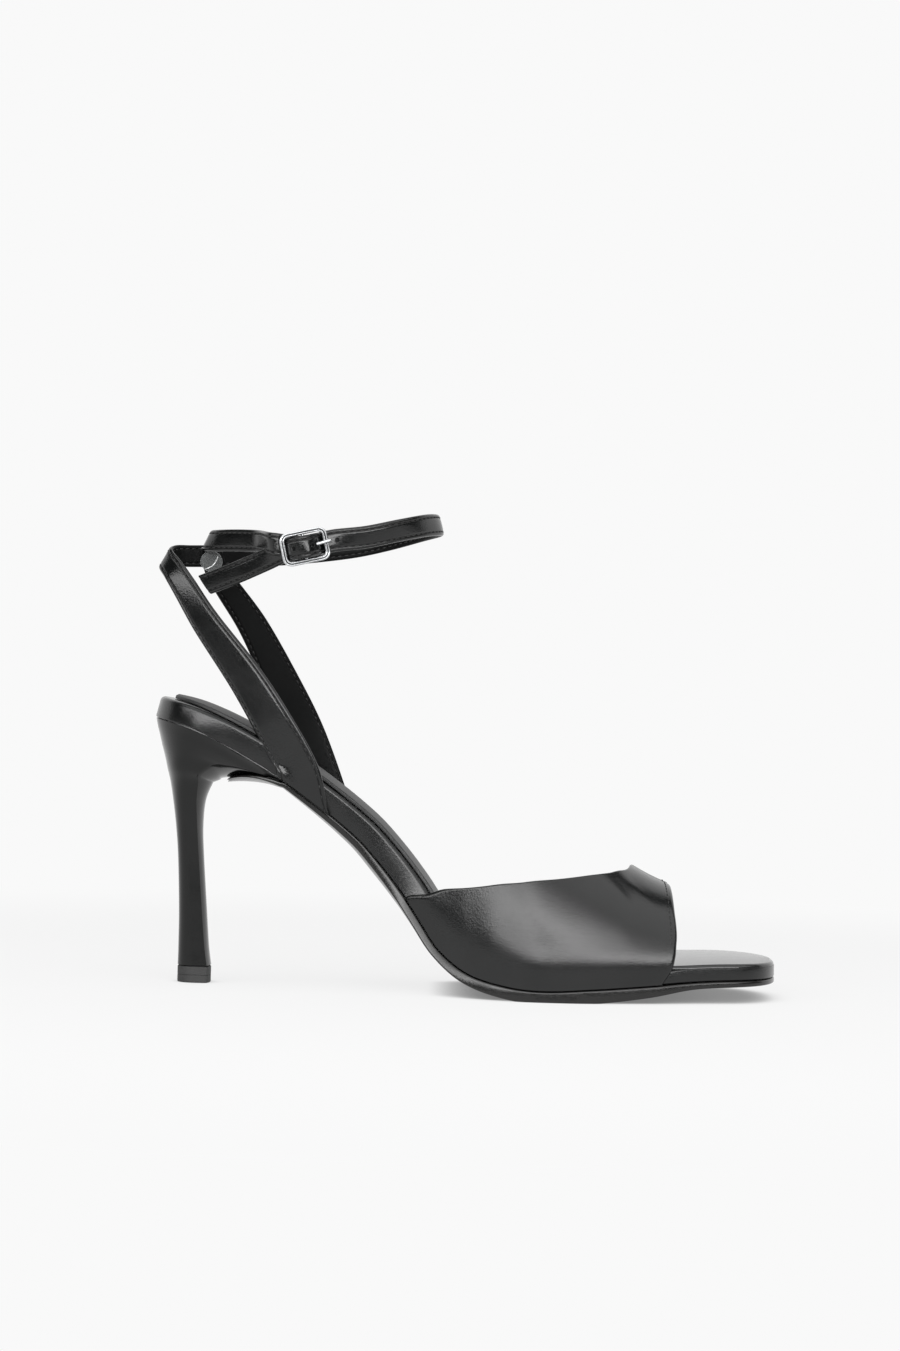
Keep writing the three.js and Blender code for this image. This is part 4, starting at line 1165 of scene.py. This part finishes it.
def makeBuckle():
    look = buckleLook
    metal = chrome("polishedBuckle")
    up, across = np.array([0.0, 0.0, 1.0]), np.array([0.0, 1.0, 0.0])

    def addMetal(name, points, nodes=(), **settings):
        settings = {"material": metal, "caps": True, "sharp": 60} | settings
        addPiece(name, bucklePoint(*np.moveaxis(points, -1, 0)), slot="buckle", nodes=nodes, **settings)

    halfLength, halfHeight, corner = look["length"] / 2, look["height"] / 2, look["corner"]
    perCorner = 12
    steps = np.linspace(0, pi / 2, perCorner)
    turns = np.concatenate([steps + k * pi / 2 for k in range(4)])
    signX, signY = np.repeat([[1, -1, -1, 1], [1, 1, -1, -1]], perCorner, axis=1)
    outline = stack(signX * (halfLength - corner) + corner * np.cos(turns),
                    signY * (halfHeight - corner) + corner * np.sin(turns), 0)
    # section: two rounded ridges with a hollow between them, and a plain back
    half = look["face"] / 2
    ridges = np.linspace(half, -half, 25)
    back = np.linspace(-half, half, 7) * 0.9
    wide = np.concatenate([ridges, back])
    deep = np.concatenate([look["depth"] / 2 - look["groove"] * np.cos(pi * ridges / half) ** 2,
                           -look["depth"] / 2 + 0.3 * np.abs(back / half) ** 4])
    ahead = unit(np.roll(outline, -1, axis=0) - np.roll(outline, 1, axis=0))
    ring = outline[:, None] + np.cross(ahead, up)[:, None] * wide[None, :, None] + up * deep[None, :, None]
    section = stack(abs(wide), 0, deep)[None] + 0 * ring
    addMetal("buckle_frame", ring, ["buckle"], material=chrome("groovedBuckle", True), caps=False,
             faces=ringFaces(*ring.shape[:2], True), places=section, sharp=80)
    bar = stack(0, np.linspace(-halfHeight, halfHeight, 20), 0)
    addMetal("buckle_bar", wirePoints(bar, look["wire"] / 2 * 0.85, up))
    radius = look["prongWire"] / 2
    eye = look["wire"] / 2 + soleLine["fit"] + radius
    turns = np.radians(np.linspace(-255, 80, 40))
    hook = stack(eye * np.cos(turns), 0, eye * np.sin(turns))
    reach = np.linspace(0.16, 1, 24)
    arm = stack(look["prongReach"] * reach, 0.5 * reach ** 2, eye)
    path = np.concatenate([hook, arm])
    thin = np.where(np.arange(len(path)) > len(path) - 4, 0.8, 1.0) * radius
    thin[-1] = radius * 0.35
    addMetal("prong", wirePoints(path, thin, across), ["buckle_prong"])


keeperLook = {
    "diameter": 7.5,
    "thickness": 1.0,
    "tilt": 24.0,
    "forward": 0.165,
    "side": 0.080,
    "lift": -0.42,
    "bevel": 0.3,
    "rib": 0.2,
    "ribFrom": (2.3, 2.3),
    "ribTo": (-2.2, -2.7),
    "ribBow": 0.7,
    "colour": (0.30, 0.31, 0.31, 1),
    "cover": 0.22,
    "rimCover": 0.7,
    # pale white of the rib, a painted glint
    "ribColour": (0.75, 0.76, 0.76, 1),
}


# Clear disc with a rounded rim, slightly hollow on its inner face, and a rib that curves across its outer
# face, coloured pale white as a painted glint.
def makeKeeper():
    look = keeperLook
    radius, half, bevel = look["diameter"] / 2, look["thickness"] / 2, look["bevel"]
    arc = np.linspace(0, pi / 2, 6)
    profile = [(0, -half), (radius * 0.5, -half), (radius - bevel, -half)]
    profile += [(radius - bevel + bevel * np.sin(t), -half + bevel - bevel * np.cos(t)) for t in arc[1:]]
    profile += [(radius - bevel + bevel * np.cos(t), half - bevel + bevel * np.sin(t)) for t in arc]
    profile += [(radius - 0.9, half - 0.18), (radius * 0.5, half - 0.2), (0, half - 0.2)]
    profile = np.array(profile)
    turn = np.linspace(0, 2 * pi, 48, endpoint=False)
    disc = stack(profile[:, :1] * np.cos(turn), profile[:, 1:] + 0 * turn, profile[:, :1] * np.sin(turn))
    lean = np.array(Matrix.Rotation(radians(look["tilt"]), 3, "X"))
    middle = anklePoint(look["forward"], look["side"], look["lift"])
    disc = disc @ lean.T + middle
    shader = Maker("clearPlastic")
    cloud = shader.noise(3.0)
    facing = shader.node("ShaderNodeLayerWeight", None, {"Blend": 0.35})["Facing"]
    material = shader.finish(Base_Color=look["colour"], Roughness=0.10 + cloud * 0.08, IOR=1.46,
                             Alpha=look["cover"] + facing.smooth(0.1, 0.8) * look["rimCover"],
                             Normal=shader.bump(cloud, 0.02))
    addPiece("clear_disc", disc, material, "keeper", ["keeper"], sharp=50)
    t = np.linspace(0, 1, 30)
    (fromX, fromZ), (toX, toZ), bulge = look["ribFrom"], look["ribTo"], look["ribBow"] * np.sin(pi * t)
    bow = stack(fromX * (1 - t) + toX * t + bulge, -half - 0.02, fromZ * (1 - t) + toZ * t - bulge)
    thick = look["rib"] * (0.25 + 0.75 * np.sin(pi * t) ** 0.5)
    rib = wirePoints(bow, thick, np.array([0.0, 1.0, 0.0]), 10) @ lean.T + middle
    shader = Maker("clearRibGlint")
    cloud = shader.noise(1.0)
    # painted glint: the rib is coloured pale white
    paintedGlint = shader.finish(Base_Color=look["ribColour"], Roughness=0.2 + cloud * 0.1)
    addPiece("clear_disc_rib", rib, paintedGlint, "keeper", caps=True, sharp=60)


makeFootbed()
makeSock()
makeOutsole()
makeHeel()
makeHeelTip()
makeVamp()
threadMaker = Maker("blackThread")
thread = threadMaker.finish(Base_Color=strapLook["thread"], Roughness=0.55,
                            Normal=threadMaker.bump(threadMaker.noise(0.25), 0.03))
makeStraps(thread)
makeVampStitches(thread)
makeBuckle()
makeKeeper()
print("shoe made")

studio = {
    "cameraPlace": (0.08475, -1.1, 0.1061),
    "cameraRoll": 1.55,
    "lens": 86.34,
    "floorSize": 16.0,
    "paper": 0.947,
    "floorDiffuse": 0.12,
    "floorGlow": 0.780,
    "floorMiddle": (0.09, 0.05, 0),
    "floorNear": 0.20,
    "floorFar": 0.45,
    # reach, darkness and extent of the painted contact shadow
    "contactReach": 0.012,
    "contactDark": 0.24,
    "contactFrom": -0.046,
    "contactTo": -0.032,
    "wallAt": 2.2,
    "wallHeight": 3.0,
    "wallGlow": 0.947,
    "dark": 0.03,
}
# Soft boxes: place, the point that they face, width and height, and brightness.
softBoxes = {
    "low": ((0.05, -1.30, 0.37), (0.05, 0.0, 0.04), (2.6, 0.28), 7.6),
    "front": ((0.05, -1.20, 0.62), (0.05, 0.0, 0.04), (2.6, 0.27), 4.3),
    "wing": ((-1.75, -1.10, 0.95), (0.09, 0.0, 0.04), (1.1, 0.60), 4.0),
    "upper": ((0.30, -1.05, 0.86), (0.30, 0.0, 0.04), (3.4, 0.28), 1.7),
    "top": ((0.50, -0.35, 1.35), (0.50, 0.0, 0.04), (3.2, 1.5), 1.5),
}
# Black cards that only the shoe sees: on the floor in front of the picture, and upright behind the camera.
cards = {
    "floorCard": [(-2.2, -1.5, 0.001), (2.2, -1.5, 0.001), (2.2, -0.85, 0.001), (-2.2, -0.85, 0.001)],
    "wallCard": [(-2.2, -1.5, 0.0), (2.2, -1.5, 0.0), (2.2, -1.5, 0.3), (-2.2, -1.5, 0.3)],
}


def addPlane(name, corners, material):
    mesh = bpy.data.meshes.new(name)
    mesh.from_pydata(corners, [], [(0, 1, 2, 3)])
    mesh.materials.append(material)
    plane = bpy.data.objects.new(name, mesh)
    bpy.context.scene.collection.objects.link(plane)
    return plane


# Surface that glows by a level and reflects by a base level, both grey, with no gloss.
def plainGrey(maker, base, level):
    def colour(value):
        if not isinstance(value, Value):
            return (value, value, value, 1)
        parts = {part: value for part in ("Red", "Green", "Blue")}
        return maker.node("ShaderNodeCombineColor", None, parts)["Color"]

    return maker.finish(Base_Color=colour(base), Roughness=1.0, Specular_IOR_Level=0.0,
                        Emission_Color=colour(level), Emission_Strength=1.0)


def makeStudio():
    look = studio
    scene = bpy.context.scene
    scene.view_settings.view_transform = "Standard"
    eye = bpy.data.cameras.new("camera")
    eye.lens = look["lens"]
    eye.sensor_fit = "VERTICAL"
    eye.sensor_height = 36
    camera = bpy.data.objects.new("camera", eye)
    camera.matrix_world = (Matrix.Translation(look["cameraPlace"]) @ Matrix.Rotation(pi / 2, 4, "X")
                           @ Matrix.Rotation(radians(look["cameraRoll"]), 4, "Z"))
    scene.collection.objects.link(camera)
    scene.camera = camera

    # White paper: its own glow, and near the shoe less of it and more of the lamps' light, which shows the
    # shadow. Where the shoe is close above it, behind its near edge, the glow is dimmed as a painted contact
    # shadow.
    half = look["floorSize"] / 2
    paper = Maker("floorPaper")
    ends = {0: paper.object, 1: look["floorMiddle"]}
    distance = paper.node("ShaderNodeVectorMath", {"operation": "DISTANCE"}, ends)["Value"]
    near = 1 - distance.smooth(look["floorNear"], look["floorFar"])
    openness = paper.node("ShaderNodeAmbientOcclusion", None, {"Distance": look["contactReach"]})["AO"]
    depth = paper.parts(paper.object)[1]
    # painted contact shadow: the glow is dimmed under the sole
    under = (1 - openness.smooth(0.0, 0.85)) * depth.smooth(look["contactFrom"], look["contactTo"])
    paintedContactShadow = 1 - under * (1 - look["contactDark"])
    level = look["paper"] - near * (look["paper"] - paintedContactShadow * look["floorGlow"])
    addPlane("floor", [(-half, -half, 0), (half, -half, 0), (half, half, 0), (-half, half, 0)],
             plainGrey(paper, near * look["floorDiffuse"], level))
    wall, height = look["wallAt"], look["wallHeight"]
    addPlane("backWall", [(-half, wall, 0), (half, wall, 0), (half, wall, height), (-half, wall, height)],
             plainGrey(Maker("backWallGlow"), 0.0, look["wallGlow"]))
    for name, corners in cards.items():
        addPlane(name, corners, plainGrey(Maker(name + "Black"), 0.0, 0.0)).visible_camera = False

    world = bpy.data.worlds.new("studio")
    scene.world = world
    world.use_nodes = True
    tree = world.node_tree
    tree.nodes.clear()
    rays = tree.nodes.new("ShaderNodeLightPath")
    mix = tree.nodes.new("ShaderNodeMixShader")
    out = tree.nodes.new("ShaderNodeOutputWorld")
    tree.links.new(rays.outputs["Is Camera Ray"], mix.inputs[0])
    for number, level in ((1, look["dark"]), (2, look["paper"])):
        background = tree.nodes.new("ShaderNodeBackground")
        background.inputs["Color"].default_value = (level, level, level, 1)
        tree.links.new(background.outputs[0], mix.inputs[number])
    tree.links.new(mix.outputs[0], out.inputs["Surface"])

    for name, (spot, target, size, bright) in softBoxes.items():
        light = bpy.data.lights.new(name + "Box", "AREA")
        light.shape = "RECTANGLE"
        light.size, light.size_y = size
        light.energy = bright * pi * size[0] * size[1]
        box = bpy.data.objects.new(name + "Box", light)
        box.location = spot
        aim = Vector(target) - Vector(spot)
        box.rotation_euler = aim.to_track_quat("-Z", "Y").to_euler()
        box.visible_camera = False
        scene.collection.objects.link(box)


makeStudio()
print("studio made")
